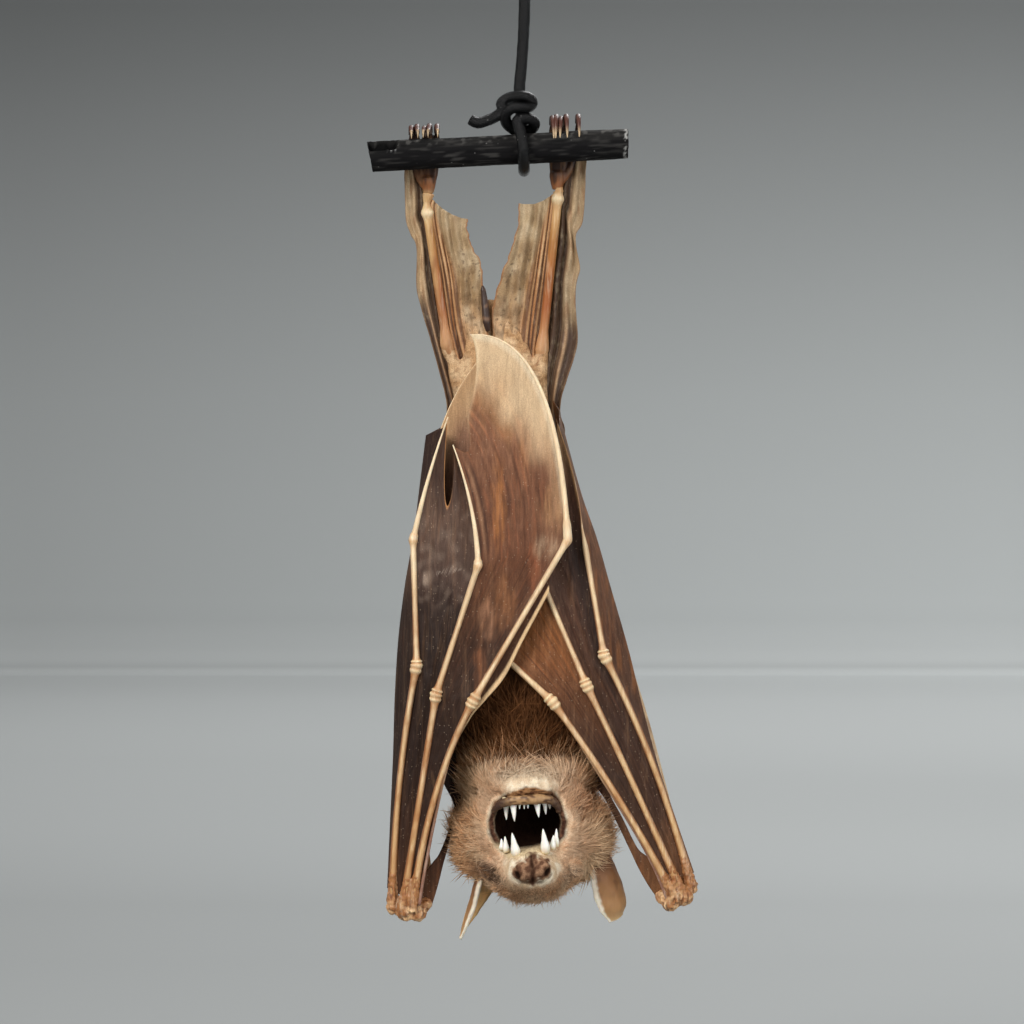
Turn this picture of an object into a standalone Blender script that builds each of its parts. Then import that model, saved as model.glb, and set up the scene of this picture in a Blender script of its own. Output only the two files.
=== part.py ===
"""A short-nosed fruit bat, dried and mounted as it roosts, head down from a stick on a cord.

Lengths are millimetres in the tables and functions below, and `at` turns them into Blender's
metres. +Z is up, the bat's belly faces -Y, and its own left side is towards -X. The origin is the
middle of the hook plate's flat top, the face that is screwed to a ceiling or a case's lid.
"""

import math
from dataclasses import dataclass

import bmesh
import bpy
from mathutils import Matrix, Vector
from mathutils.bvhtree import BVHTree

MM = 0.001
GAP = 0.35              # clear space between two pieces that touch on the real animal
WEB_THICKNESS = 0.56    # wing skin, at the thinnest that the solids hold
BONE_RADIUS = 0.92      # a hand bone under its skin, at mid length
KNOB_RADIUS = 1.3       # the swelling at a finger joint
TIP_RADIUS = 0.42       # the last finger bone at its end
WEB_CLEARANCE = BONE_RADIUS + GAP + 0.15
SHIN_CLEARANCE = 1.3 + GAP + 0.15
WELD = 0.002            # points nearer than this are one point

STICK_RADIUS = 3.0
STICK_LEFT_END = (-30.8, 0.0, -57.4)
STICK_RIGHT_END = (21.4, 0.0, -54.7)
CORD_RADIUS = 1.15
CORD_LOOP_X = 0.7       # where the cord goes round the stick

FACE_AXIS_X = 2.0       # the head's own middle plane


@dataclass(frozen=True)
class Finish:
    """Colour, roughness and metallic value of one material."""

    color: tuple
    roughness: float
    metallic: float = 0.0


FINISHES = {
    "fur": Finish((0.30, 0.20, 0.12), 0.90),
    "wing_skin": Finish((0.09, 0.06, 0.05), 0.60),
    "pale_skin": Finish((0.42, 0.34, 0.23), 0.60),
    "bone": Finish((0.62, 0.49, 0.31), 0.45),
    "nose_skin": Finish((0.16, 0.09, 0.07), 0.60),
    "eye": Finish((0.02, 0.015, 0.012), 0.15),
    "ear_skin": Finish((0.45, 0.29, 0.17), 0.60),
    "stick_wood": Finish((0.03, 0.03, 0.032), 0.65),
    "cord_rubber": Finish((0.012, 0.012, 0.014), 0.35),
    "hook_steel": Finish((0.55, 0.55, 0.56), 0.35, 1.0),
}


def at(point):
    """A point given in millimetres, in Blender's metres."""
    return Vector(point) * MM


def blend(a, b, t):
    """The point a share t of the way from a to b."""
    return tuple(p + (q - p) * t for p, q in zip(a, b))


def bow(start, control, end, t):
    """A point on the quadratic curve from start to end, pulled towards control."""
    return blend(blend(start, control, t), blend(control, end, t), t)


def along(points, t):
    """A point on the smooth curve through the points, at a share t of their count."""
    spans = len(points) - 1
    place = min(max(t, 0.0), 1.0) * spans
    i = min(int(place), spans - 1)
    s = place - i
    p1, p2 = points[i], points[i + 1]
    p0 = points[i - 1] if i else p1
    p3 = points[i + 2] if i + 2 <= spans else p2
    return tuple(
        b + s * (c - a + s * (2 * a - 5 * b + 4 * c - d + s * (3 * b - a - 3 * c + d))) / 2
        for a, b, c, d in zip(p0, p1, p2, p3)
    )


def smooth(points, count):
    """A list of count points on the smooth curve through the given ones."""
    return [along(points, i / (count - 1)) for i in range(count)]


def material(name):
    """The material of that finish, made once."""
    made = bpy.data.materials.get(name)
    if made:
        return made
    finish = FINISHES[name]
    made = bpy.data.materials.new(name)
    made.use_nodes = True
    shader = made.node_tree.nodes["Principled BSDF"]
    shader.inputs["Base Color"].default_value = (*finish.color, 1.0)
    shader.inputs["Roughness"].default_value = finish.roughness
    shader.inputs["Metallic"].default_value = finish.metallic
    return made


def new_object(name, data, finish):
    """An object in the scene that holds the data and wears the finish."""
    made = bpy.data.objects.new(name, data)
    bpy.context.collection.objects.link(made)
    if finish:
        data.materials.append(material(finish))
    return made


def from_bmesh(name, bm, finish):
    """An object from a bmesh whose faces are turned outwards first."""
    bmesh.ops.recalc_face_normals(bm, faces=bm.faces)
    mesh = bpy.data.meshes.new(name)
    bm.to_mesh(mesh)
    bm.free()
    mesh.shade_smooth()
    return new_object(name, mesh, finish)


def weld(mesh):
    """Joins the points that coincide, such as those of a curve's caps, and turns faces outwards."""
    bm = bmesh.new()
    bm.from_mesh(mesh)
    bmesh.ops.remove_doubles(bm, verts=bm.verts, dist=WELD * MM)
    if bm.calc_volume(signed=True) < 0:
        bmesh.ops.reverse_faces(bm, faces=bm.faces)
    bm.to_mesh(mesh)
    bm.free()


def bake(target):
    """Replaces an object's curve or modified mesh by the mesh that it evaluates to."""
    graph = bpy.context.evaluated_depsgraph_get()
    mesh = bpy.data.meshes.new_from_object(target.evaluated_get(graph), depsgraph=graph)
    name = target.name
    finish = target.data.materials[0].name if target.data.materials else None
    place = target.matrix_world.copy()
    bpy.data.objects.remove(target)
    mesh.transform(place)
    mesh.materials.clear()
    weld(mesh)
    return new_object(name, mesh, finish)


def is_closed(mesh):
    """Whether every edge of the mesh has two faces, and it has any volume."""
    bm = bmesh.new()
    bm.from_mesh(mesh)
    closed = len(bm.faces) > 6 and all(len(edge.link_faces) == 2 for edge in bm.edges)
    bm.free()
    return closed


def touches(one, other):
    """Whether the surfaces of two objects cross."""
    trees = [
        BVHTree.FromPolygons([v.co for v in each.data.vertices], [p.vertices for p in each.data.polygons])
        for each in (one, other)
    ]
    return bool(trees[0].overlap(trees[1]))


def boolean(target, tool, operation, clear_of=None):
    """Joins the tool to the target or cuts it away, and bakes the result.

    The plain cut comes first. A cutter that crosses itself can spoil it, and then the cut is made
    again with self-intersections resolved, and at last with the tool a hair's breadth away. The
    result is closed and, where clear_of is given, doesn't cross that object.
    """
    whole = target.data.copy()
    tries = ((False, 0.0), (True, 0.0), (False, 0.011), (False, -0.017), (True, 0.023), (True, -0.03))
    for resolve_crossings, shift in tries:
        tool.location = at((shift, shift, shift))
        bpy.context.view_layer.update()
        step = target.modifiers.new(operation.lower(), "BOOLEAN")
        step.operation = operation
        step.object = tool
        step.use_self = resolve_crossings
        target = bake(target)
        if is_closed(target.data) and not (clear_of and touches(target, clear_of)):
            return target
        if (resolve_crossings, shift) != tries[-1]:
            target.data = whole.copy()
    return target


def unite(target, *others):
    """One solid out of several that reach into each other."""
    for other in others:
        target = boolean(target, other, "UNION")
        bpy.data.objects.remove(other)
    return target


def swollen(source, amount):
    """A cutter: a copy of the object with its surface moved outwards."""
    mesh = source.data.copy()
    moved = [v.co + v.normal * amount * MM for v in mesh.vertices]
    for vertex, place in zip(mesh.vertices, moved):
        vertex.co = place
    return new_object("cutter", mesh, None)


def keep_largest(target):
    """Drops loose crumbs that a cut leaves, and keeps the largest body."""
    bm = bmesh.new()
    bm.from_mesh(target.data)
    left = set(bm.faces)
    bodies = []
    while left:
        body = [left.pop()]
        for face in body:
            near = {other for edge in face.edges for other in edge.link_faces} & left
            left -= near
            body.extend(near)
        bodies.append(body)
    bodies.sort(key=len)
    for body in bodies[:-1]:
        bmesh.ops.delete(bm, geom=body, context="FACES")
    bm.to_mesh(target.data)
    bm.free()
    return target


def carve(target, *tools, gap=GAP):
    """Cuts the target back so that it stays a gap away from each of the tools."""
    for tool in tools:
        cutter = swollen(tool, gap * 1.15)
        target = boolean(target, cutter, "DIFFERENCE", clear_of=tool)
        bpy.data.objects.remove(cutter)
    return keep_largest(target)


def loft(name, rings, finish, sides=20):
    """A closed skin over elliptical rings, each a centre and two half axes."""
    bm = bmesh.new()
    loops = []
    for center, half_a, half_b in rings:
        turn = [2 * math.pi * i / sides for i in range(sides)]
        loops.append([
            bm.verts.new(at(center) + at(half_a) * math.cos(a) + at(half_b) * math.sin(a)) for a in turn
        ])
    for low, high in zip(loops, loops[1:]):
        for i in range(sides):
            j = (i + 1) % sides
            bm.faces.new((low[i], low[j], high[j], high[i]))
    bm.faces.new(loops[0])
    bm.faces.new(loops[-1])
    return from_bmesh(name, bm, finish)


def level_rings(sections):
    """Rings that lie level, from (x, y, z, half width, half depth)."""
    return [((x, y, z), (w, 0, 0), (0, d, 0)) for x, y, z, w, d in sections]


def facing_rings(sections):
    """Rings that face forwards, from (x, y, z, half width, half height)."""
    return [((x, y, z), (w, 0, 0), (0, 0, h)) for x, y, z, w, h in sections]


def tube(name, points, radii, finish, resolution=2):
    """A round bar along the points, with its own radius at each."""
    curve = bpy.data.curves.new(name, "CURVE")
    curve.dimensions = "3D"
    curve.bevel_depth = MM
    curve.bevel_resolution = resolution
    curve.use_fill_caps = True
    spline = curve.splines.new("POLY")
    spline.points.add(len(points) - 1)
    for spot, point, radius in zip(spline.points, points, radii):
        spot.co = (*at(point), 1.0)
        spot.radius = radius
    return new_object(name, curve, finish)


def ball(name, center, radii, finish, segments=8, rings=6):
    """An ellipsoid with its axes along X, Y and Z."""
    bm = bmesh.new()
    bmesh.ops.create_uvsphere(bm, u_segments=segments, v_segments=rings, radius=1.0)
    bmesh.ops.scale(bm, vec=at(radii), verts=bm.verts)
    bmesh.ops.translate(bm, vec=at(center), verts=bm.verts)
    return from_bmesh(name, bm, finish)


def ring_solid(name, center, axis, major, minor, finish, around=12, sides=6):
    """A closed ring, spun round an axis through its centre."""
    bm = bmesh.new()
    spin_axis = Vector(axis).normalized()
    side = spin_axis.orthogonal().normalized()
    place = Matrix.Translation(at(center) + side * major * MM)
    tilt = spin_axis.cross(side).to_track_quat("Z", "Y").to_matrix().to_4x4()
    made = bmesh.ops.create_circle(bm, segments=sides, radius=minor * MM, matrix=place @ tilt)
    edges = list({edge for vertex in made["verts"] for edge in vertex.link_edges})
    bmesh.ops.spin(bm, geom=edges, cent=at(center), axis=spin_axis, angle=2 * math.pi, steps=around,
                   use_merge=True)
    bmesh.ops.remove_doubles(bm, verts=bm.verts, dist=WELD * MM)
    return from_bmesh(name, bm, finish)


def sheet(name, surface, finish, columns=5, rows=10, thickness=WEB_THICKNESS):
    """A thin curved plate over surface(u, v), with u and v from 0 to 1."""
    bm = bmesh.new()
    bmesh.ops.create_grid(bm, x_segments=columns, y_segments=rows, size=1.0)
    for vertex in bm.verts:
        vertex.co = at(surface(vertex.co.x / 2 + 0.5, vertex.co.y / 2 + 0.5))
    plate = from_bmesh(name, bm, finish)
    wall = plate.modifiers.new("wall", "SOLIDIFY")
    wall.thickness = thickness * MM
    wall.offset = 0.0
    wall.use_even_offset = True
    return bake(plate)


def inset_between(a, b, margin_a, margin_b, u):
    """A point between a and b that stays the margins away from them."""
    width = max((Vector(b) - Vector(a)).length, 0.01)
    low, high = margin_a / width, 1.0 - margin_b / width
    if low > high:
        low = high = 0.5
    return blend(a, b, low + (high - low) * u)


def web(name, edge_a, edge_b, finish="wing_skin", start=0.0, hem=lambda u: 1.0, margins=(0.0, 0.0),
        belly=(0.0, 0.0, 0.0), columns=5, rows=10):
    """Skin stretched from edge_a to edge_b, from start to the hem, with its middle moved by belly."""
    def surface(u, v):
        place = start + (hem(u) - start) * v
        point = inset_between(edge_a(place), edge_b(place), *margins, u)
        swell = 4 * u * (1 - u) * math.sin(math.pi * min(v * 1.2, 1.0))
        return tuple(p + s * swell for p, s in zip(point, belly))

    return sheet(name, surface, finish, columns, rows)


# ---------------------------------------------------------------- stick, cord and hook

def stick_axis(x):
    """The point of the stick's axis that lies at x."""
    left, right = STICK_LEFT_END, STICK_RIGHT_END
    return blend(left, right, (x - left[0]) / (right[0] - left[0]))


def build_stick():
    """A charred stick, a little tilted, with its left end hollowed by a slanting break."""
    swellings = (2.9, 3.0, 3.05, 2.95, 3.0, 2.9)
    axis = Vector(STICK_RIGHT_END) - Vector(STICK_LEFT_END)
    up = axis.cross(Vector((0, 1, 0))).normalized()
    rings = []
    for i, radius in enumerate(swellings):
        center = blend(STICK_LEFT_END, STICK_RIGHT_END, i / (len(swellings) - 1))
        rings.append((center, (0, radius, 0), tuple(up * radius)))
    stick = loft("perch_stick", rings, "stick_wood", sides=14)
    x, y, z = STICK_LEFT_END
    scoop = ball("scoop", (x, y - 0.6, z + 3.2), (6.6, 2.1, 1.5), None)
    stick = boolean(stick, scoop, "DIFFERENCE")
    bpy.data.objects.remove(scoop)
    return stick


def build_cord():
    """The cord's straight run, its knot with the loop round the stick, its tail and its top loop."""
    axis = stick_axis(CORD_LOOP_X)
    direction = Vector(STICK_RIGHT_END) - Vector(STICK_LEFT_END)
    loop = ring_solid("cord_knot", axis, direction, STICK_RADIUS + GAP + CORD_RADIUS, CORD_RADIUS,
                      "cord_rubber")
    lower_lobe = ball("lower_lobe", (-0.2, -0.4, axis[2] + 5.7), (3.0, 2.7, 2.2), None)
    upper_lobe = ball("upper_lobe", (-1.0, -0.4, axis[2] + 9.2), (3.2, 2.5, 2.1), None)
    knot = unite(loop, lower_lobe, upper_lobe)

    route = smooth([(0.6, 0, -21.0), (0.9, 0, -28.0), (0.4, 0, -37.0), (-0.4, 0, -45.5)], 9)
    run = bake(tube("cord_run", route, [CORD_RADIUS] * len(route), "cord_rubber"))
    end = smooth([(-4.2, -1.0, -48.8), (-6.0, -1.3, -49.6), (-8.0, -1.7, -50.3), (-10.2, -2.0, -50.1)], 6)
    bake(tube("cord_tail", end, [CORD_RADIUS] * len(end), "cord_rubber"))

    top = ring_solid("cord_top_loop", (0, 0, -14.9), (1, 0, 0), 3.2, CORD_RADIUS, "cord_rubber")
    top_knot = ball("top_knot", (0.3, 0, -20.0), (2.4, 2.2, 1.9), None)
    top = unite(top, top_knot)
    carve(run, knot, top)


def build_hook():
    """A steel screw hook: a round plate, flat on top, and a J that holds the cord's loop."""
    bm = bmesh.new()
    bmesh.ops.create_cone(bm, cap_ends=True, segments=20, radius1=5.2 * MM, radius2=6.0 * MM,
                          depth=1.4 * MM, matrix=Matrix.Translation(at((0, 0, -0.7))))
    plate = from_bmesh("ceiling_hook", bm, "hook_steel")
    bend = [(0, 0, -1.0), (0, 0, -4.0), (0.5, 0, -6.2), (2.5, 0, -8.3), (3.4, 0, -11.0),
            (2.4, 0, -13.4), (0, 0, -14.4), (-2.4, 0, -13.4), (-3.3, 0, -11.2)]
    path = smooth(bend, 14)
    radii = [1.1] * (len(path) - 1) + [0.8]
    unite(plate, bake(tube("bend", path, radii, None, resolution=1)))


# ---------------------------------------------------------------- head

def tooth(base, tip, radius):
    """One cone-shaped tooth from its root to its point."""
    path = [base, blend(base, tip, 0.55), tip]
    return bake(tube("tooth", path, [radius, radius * 0.75, 0.12], None, resolution=0))


def build_head():
    """Skull with fur, snout and upper teeth; lower jaw with its teeth; nose, eyes and ears."""
    skull = loft("head", facing_rings([
        (FACE_AXIS_X, -9.5, -193.6, 9.0, 8.4),
        (FACE_AXIS_X, -6.0, -193.2, 12.6, 10.8),
        (FACE_AXIS_X, -1.5, -193.0, 15.2, 12.4),
        (FACE_AXIS_X, 3.5, -192.8, 16.2, 12.8),
        (FACE_AXIS_X, 8.5, -192.2, 14.6, 12.0),
        (FACE_AXIS_X, 12.5, -191.0, 10.4, 9.4),
        (FACE_AXIS_X, 15.0, -190.0, 5.0, 5.0),
    ]), "fur", sides=20)
    snout = loft("snout", facing_rings([
        (FACE_AXIS_X, -17.4, -199.2, 3.4, 2.1),
        (FACE_AXIS_X, -16.0, -199.6, 4.8, 3.4),
        (FACE_AXIS_X, -13.0, -199.9, 6.3, 4.7),
        (FACE_AXIS_X, -9.0, -199.2, 8.4, 6.4),
        (FACE_AXIS_X, -4.0, -197.5, 10.0, 8.0),
    ]), None, sides=12)
    head = unite(skull, snout)
    mouth = ball("mouth", (FACE_AXIS_X - 0.7, -9.0, -190.4), (7.2, 8.0, 5.2), None, 10, 8)
    head = boolean(head, mouth, "DIFFERENCE")

    jaw = loft("lower_jaw", facing_rings([
        (FACE_AXIS_X - 0.6, -13.8, -183.2, 3.4, 1.9),
        (FACE_AXIS_X - 0.6, -12.4, -183.0, 4.8, 2.7),
        (FACE_AXIS_X - 0.4, -8.0, -182.7, 7.4, 3.8),
        (FACE_AXIS_X - 0.2, -3.0, -182.4, 10.0, 5.0),
        (FACE_AXIS_X, 2.0, -182.6, 11.0, 5.4),
    ]), "fur", sides=12)
    jaw = boolean(jaw, mouth, "DIFFERENCE")
    jaw = carve(jaw, head)
    bpy.data.objects.remove(mouth)

    lower = [
        ((-2.9, -10.8, -184.0), (-3.0, -10.8, -189.4), 0.65),
        ((-1.5, -12.3, -184.0), (-1.4, -12.6, -189.6), 0.72),
        ((2.9, -12.3, -183.8), (3.3, -12.6, -188.7), 0.72),
        ((5.0, -10.8, -183.8), (5.2, -10.8, -187.7), 0.65),
    ]
    lower += [((x, -12.8, -184.0), (x, -12.9, -187.2), 0.4) for x in (-0.1, 0.8, 1.6)]
    upper = [
        ((-1.2, -14.4, -196.8), (-1.8, -14.6, -191.8), 0.95),
        ((4.7, -14.4, -196.4), (4.3, -14.6, -190.9), 0.95),
        ((-3.1, -11.6, -196.0), (-3.1, -11.8, -192.4), 0.7),
        ((6.3, -11.6, -195.6), (6.3, -11.8, -191.7), 0.7),
    ]
    head = unite(head, *[tooth(*row) for row in upper])
    jaw = unite(jaw, *[tooth(*row) for row in lower])

    nose = unite(
        ball("nose", (0.1, -17.9, -199.0), (1.9, 1.9, 1.6), "nose_skin", 6, 5),
        ball("lobe", (4.2, -17.9, -198.6), (1.9, 1.9, 1.6), None, 6, 5),
        ball("bridge", (FACE_AXIS_X + 0.15, -17.6, -198.7), (1.6, 1.4, 1.3), None, 6, 4),
    )
    carve(nose, head)

    for side, name in ((-1, "left"), (1, "right")):
        eye = ball(f"eye_{name}", (FACE_AXIS_X + side * 8.3, -8.4, -199.2), (2.2, 2.2, 2.2), "eye", 8, 6)
        head = carve(head, eye, gap=0.3)
    build_ear("ear_left", (-9.3, 1.0, -199.0), (-12.2, 2.0, -213.8), (0.36, -0.93), (-0.93, -0.36), head)
    build_ear("ear_right", (16.4, 1.0, -197.5), (19.0, 2.0, -210.4), (-0.58, -0.81), (0.81, -0.58), head)
    return head, jaw


def build_ear(name, root, tip, across, outward, head):
    """A cupped leaf, its hollow side turned away from outward; across and outward are level."""
    half_width = 4.6
    cup = 2.6

    def surface(u, v):
        center = blend(root, tip, v)
        width = half_width * math.sqrt(max(0.0, 1 - ((v - 0.38) / 0.66) ** 2))
        s = 2 * u - 1
        depth = cup * (1 - s * s) * width / half_width
        reach = zip(center, (*across, 0.0), (*outward, 0.0))
        return tuple(c + a * s * width + o * depth for c, a, o in reach)

    carve(sheet(name, surface, "ear_skin", columns=5, rows=6, thickness=0.7), head)


# ---------------------------------------------------------------- trunk and limbs

def build_trunk(head, jaw):
    """Trunk and neck, with their fur, and the stub of a tail."""
    trunk = loft("trunk", level_rings([
        (-5.9, 5.6, -88.0, 3.2, 1.3),
        (-5.2, 5.6, -92.0, 6.0, 2.6),
        (-4.5, 5.6, -98.5, 7.4, 4.9),
        (-3.2, 5.5, -112.0, 10.0, 8.6),
        (-1.7, 5.2, -127.0, 12.5, 11.0),
        (-0.2, 5.0, -149.0, 14.3, 12.7),
        (0.4, 5.0, -164.0, 14.4, 12.8),
        (1.0, 5.0, -173.0, 12.8, 11.8),
    ]), "fur", sides=18)
    neck = loft("neck", level_rings([
        (1.0, 5.0, -173.0 - GAP, 12.8, 11.8),
        (1.5, 4.6, -179.0, 12.2, 11.0),
        (2.0, 4.2, -187.0, 12.0, 10.0),
    ]), "fur", sides=18)
    carve(neck, head, jaw)
    tail = bake(tube("tail", [(-7.6, 5.0, -82.8), (-7.2, 5.2, -86.0), (-6.7, 5.5, -90.0)], [0.5, 0.75, 0.9],
                     "wing_skin"))
    carve(tail, trunk)
    return trunk


@dataclass(frozen=True)
class Leg:
    """One hind leg, from the ankle down to the hip of the hanging bat."""

    name: str
    ankle: tuple
    shin_knob: tuple
    knee: tuple
    hip: tuple
    claws_x: tuple
    claw_rise: float
    claw_drop: float
    web_edge: tuple
    strip_edge: tuple


LEFT_LEG = Leg(
    name="left", ankle=(-18.6, 5.0, -64.4), shin_knob=(-18.8, 5.0, -68.3), knee=(-14.9, 6.5, -94.8),
    hip=(-9.0, 7.0, -114.0), claws_x=(-22.0, -20.9, -19.3, -18.3, -16.9), claw_rise=5.5, claw_drop=2.9,
    web_edge=((-17.4, 4.9, -66.2), (-10.8, 4.5, -69.5), (-10.0, 4.5, -74.7), (-8.3, 4.6, -78.5),
              (-8.0, 5.0, -86.0)),
    strip_edge=((-23.5, 4.6, -60.8), (-22.9, 5.0, -70.7), (-21.0, 5.4, -79.0), (-20.6, 5.4, -84.0),
                (-18.3, 5.0, -92.8), (-14.9, 4.2, -106.6)),
)
RIGHT_LEG = Leg(
    name="right", ankle=(7.3, 5.0, -63.6), shin_knob=(7.4, 5.0, -65.6), knee=(4.2, 6.5, -95.8),
    hip=(3.4, 7.0, -114.0), claws_x=(6.2, 7.1, 8.1, 9.0, 11.4), claw_rise=6.0, claw_drop=1.0,
    web_edge=((5.2, 4.9, -63.9), (-0.4, 4.5, -66.3), (-0.8, 4.5, -71.5), (-2.4, 4.6, -76.5),
              (-5.4, 5.0, -86.0)),
    strip_edge=((12.9, 4.6, -59.4), (12.6, 5.0, -68.7), (11.2, 5.2, -75.0), (11.4, 5.3, -84.0),
                (10.4, 5.0, -94.8), (7.9, 4.2, -106.6)),
)


def build_foot(leg, shin):
    """A foot behind the stick whose toes end in claws that hook over it."""
    axis = stick_axis(leg.ankle[0])
    toe_root = (sum(leg.claws_x[:4]) / 4 + 0.3, 4.9, axis[2] - 1.0)
    foot = loft(f"foot_{leg.name}", [
        (leg.ankle, (1.2, 0, 0), (0, 1.1, 0)),
        (blend(leg.ankle, toe_root, 0.35), (1.9, 0, 0), (0, 1.2, 0)),
        (blend(leg.ankle, toe_root, 0.7), (3.0, 0, 0), (0, 1.2, 0)),
        (toe_root, (3.1, 0, 0), (0, 1.0, 0)),
    ], "nose_skin", sides=8)
    toes = []
    for x in leg.claws_x:
        z = stick_axis(x)[2]
        over = [(x, 4.9, z - 2.0), (x, 4.9, z + 2.6), (x, 3.6, z + leg.claw_rise - 0.6),
                (x, 1.7, z + leg.claw_rise), (x, -0.6, z + leg.claw_rise - 1.3)]
        over.append((x, -1.4 - (2.9 - leg.claw_drop), z + leg.claw_drop + 0.8))
        path = smooth(over, 6)
        radii = [0.75, 0.7, 0.6, 0.5, 0.35, 0.15]
        toes.append(bake(tube("toe", path, radii, None, resolution=0)))
    foot = unite(foot, *toes)
    return carve(foot, shin)


def build_leg(leg, trunk, stick):
    """Thigh, shin and foot with the skin on both sides of them."""
    shin_path = [leg.ankle]
    shin_path += [blend(leg.shin_knob, leg.knee, share) for share in (0.0, 0.35, 0.7, 1.0)]
    shin = bake(tube(f"shin_{leg.name}", shin_path, [1.0, 1.3, 0.95, 1.0, 1.5], "bone"))
    thigh_path = [leg.knee, blend(leg.knee, leg.hip, 0.5), leg.hip]
    thigh = bake(tube(f"thigh_{leg.name}", thigh_path, [1.6, 2.6, 3.6], "fur"))
    thigh = carve(thigh, shin, trunk)
    foot = build_foot(leg, shin)
    carve(foot, stick, gap=0.2)

    inner = web(f"tail_web_{leg.name}", lambda v: along(shin_path[1:], v), lambda v: along(leg.web_edge, v),
                "pale_skin", margins=(SHIN_CLEARANCE, 0.0), columns=4, rows=6)
    carve(inner, shin, thigh, trunk, bpy.data.objects["tail"], bpy.data.objects[f"foot_{leg.name}"])
    lower = blend(leg.knee, leg.hip, 0.6)
    bones = [leg.ankle, leg.shin_knob, blend(leg.shin_knob, leg.knee, 0.5), leg.knee, lower]
    outer = web(f"leg_web_{leg.name}", lambda v: along(bones, v), lambda v: along(leg.strip_edge, v),
                "pale_skin", margins=(SHIN_CLEARANCE, 0.0), columns=3, rows=8)
    carve(outer, shin, thigh, trunk, bpy.data.objects[f"foot_{leg.name}"])
    return thigh


@dataclass(frozen=True)
class Digit:
    """One long finger, from the wrist to its tip, with the two points that its end bones bow to."""

    wrist: tuple
    palm_bow: tuple
    knuckle: tuple
    joint: tuple
    tip_bow: tuple
    tip: tuple

    def at(self, v):
        """The finger's middle line, with v a third at the knuckle and two thirds at the joint."""
        if v <= 1 / 3:
            return bow(self.wrist, self.palm_bow, self.knuckle, v * 3)
        if v <= 2 / 3:
            return blend(self.knuckle, self.joint, v * 3 - 1)
        return bow(self.joint, self.tip_bow, self.tip, v * 3 - 2)

    def build(self, name):
        """The finger as one solid, thick at its joints and thin at its tip."""
        marks = [(0.0, 1.15), (0.11, 1.0), (0.22, BONE_RADIUS), (0.31, BONE_RADIUS), (1 / 3, KNOB_RADIUS),
                 (0.36, BONE_RADIUS), (0.64, BONE_RADIUS - 0.1), (2 / 3, KNOB_RADIUS - 0.25),
                 (0.70, 0.75), (0.80, 0.65), (0.90, 0.55), (1.0, TIP_RADIUS)]
        return bake(tube(name, [self.at(v) for v, _ in marks], [r for _, r in marks], "bone",
                         resolution=1))


@dataclass(frozen=True)
class Wing:
    """One folded wing: its hand, its arm and the edges of its skin."""

    name: str
    index: tuple
    third: Digit
    fourth: Digit
    fifth: Digit
    wrist_knobs: tuple
    forearm: tuple
    shoulder: tuple
    fold: tuple
    back_fold: tuple
    flank: tuple
    strap_outer: tuple
    strap_inner: tuple
    thumb: tuple


LEFT_WING = Wing(
    name="left",
    index=((-20.4, -4.6, -206.6), (-17.0, -7.6, -191.5), (-12.0, -11.4, -177.0), (-7.6, -12.4, -165.6)),
    third=Digit((-21.7, -4.2, -207.8), (-18.6, -9.0, -182.9), (-9.5, -13.2, -165.7), (9.2, -13.6, -133.9),
                (7.4, -9.6, -100.0), (-10.1, -6.0, -93.2)),
    fourth=Digit((-23.6, -3.8, -207.6), (-20.2, -8.0, -185.5), (-16.8, -11.5, -164.4), (-8.5, -13.2, -138.9),
                 (-8.8, -12.6, -127.6), (-13.5, -10.0, -115.1)),
    fifth=Digit((-25.6, -2.6, -207.0), (-25.3, -6.0, -182.7), (-20.7, -8.7, -158.7), (-21.4, -8.7, -133.9),
                (-18.6, -8.6, -121.0), (-14.3, -7.6, -109.0)),
    wrist_knobs=((-25.4, -2.4, -207.2, 1.6), (-23.0, -3.0, -208.0, 2.0), (-20.6, -3.0, -208.2, 1.9),
                 (-19.2, -2.0, -206.6, 1.5), (-22.6, 0.6, -206.6, 2.3)),
    forearm=((-22.8, 1.6, -204.0), (-22.6, 4.2, -168.0), (-20.4, 6.5, -132.0)),
    shoulder=(-13.6, 7.2, -166.0),
    fold=((-26.8, -0.6, -203.5), (-26.2, -0.4, -190.0), (-25.7, 0.0, -178.0), (-25.4, 0.4, -166.0),
          (-24.7, 0.8, -154.0), (-23.4, 1.2, -143.0), (-21.8, 1.5, -134.0), (-20.6, 1.5, -124.0),
          (-19.3, 1.0, -113.2)),
    back_fold=((-24.4, 2.1, -150.0), (-23.0, 2.4, -141.0), (-21.5, 2.7, -132.0), (-20.4, 2.5, -123.0),
               (-19.2, 2.0, -114.0)),
    flank=((-13.8, 3.6, -150.0), (-13.0, 3.8, -138.0), (-12.0, 4.0, -126.0), (-10.4, 4.4, -115.0),
           (-12.0, 4.4, -108.0)),
    strap_outer=((-12.8, 3.0, -181.0), (-15.4, 0.6, -190.0), (-17.0, -0.8, -197.0), (-18.4, -2.2, -202.0),
                 (-19.4, -2.4, -207.0)),
    strap_inner=((-10.8, 3.4, -181.0), (-13.6, 0.8, -190.0), (-14.8, -1.0, -196.2), (-16.6, -1.8, -202.0),
                 (-17.8, -2.2, -207.0)),
    thumb=((-20.0, 2.0, -206.0), (-18.8, 2.8, -200.0), (-19.6, 3.6, -193.6), (-19.8, 2.6, -190.2)),
)
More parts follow.
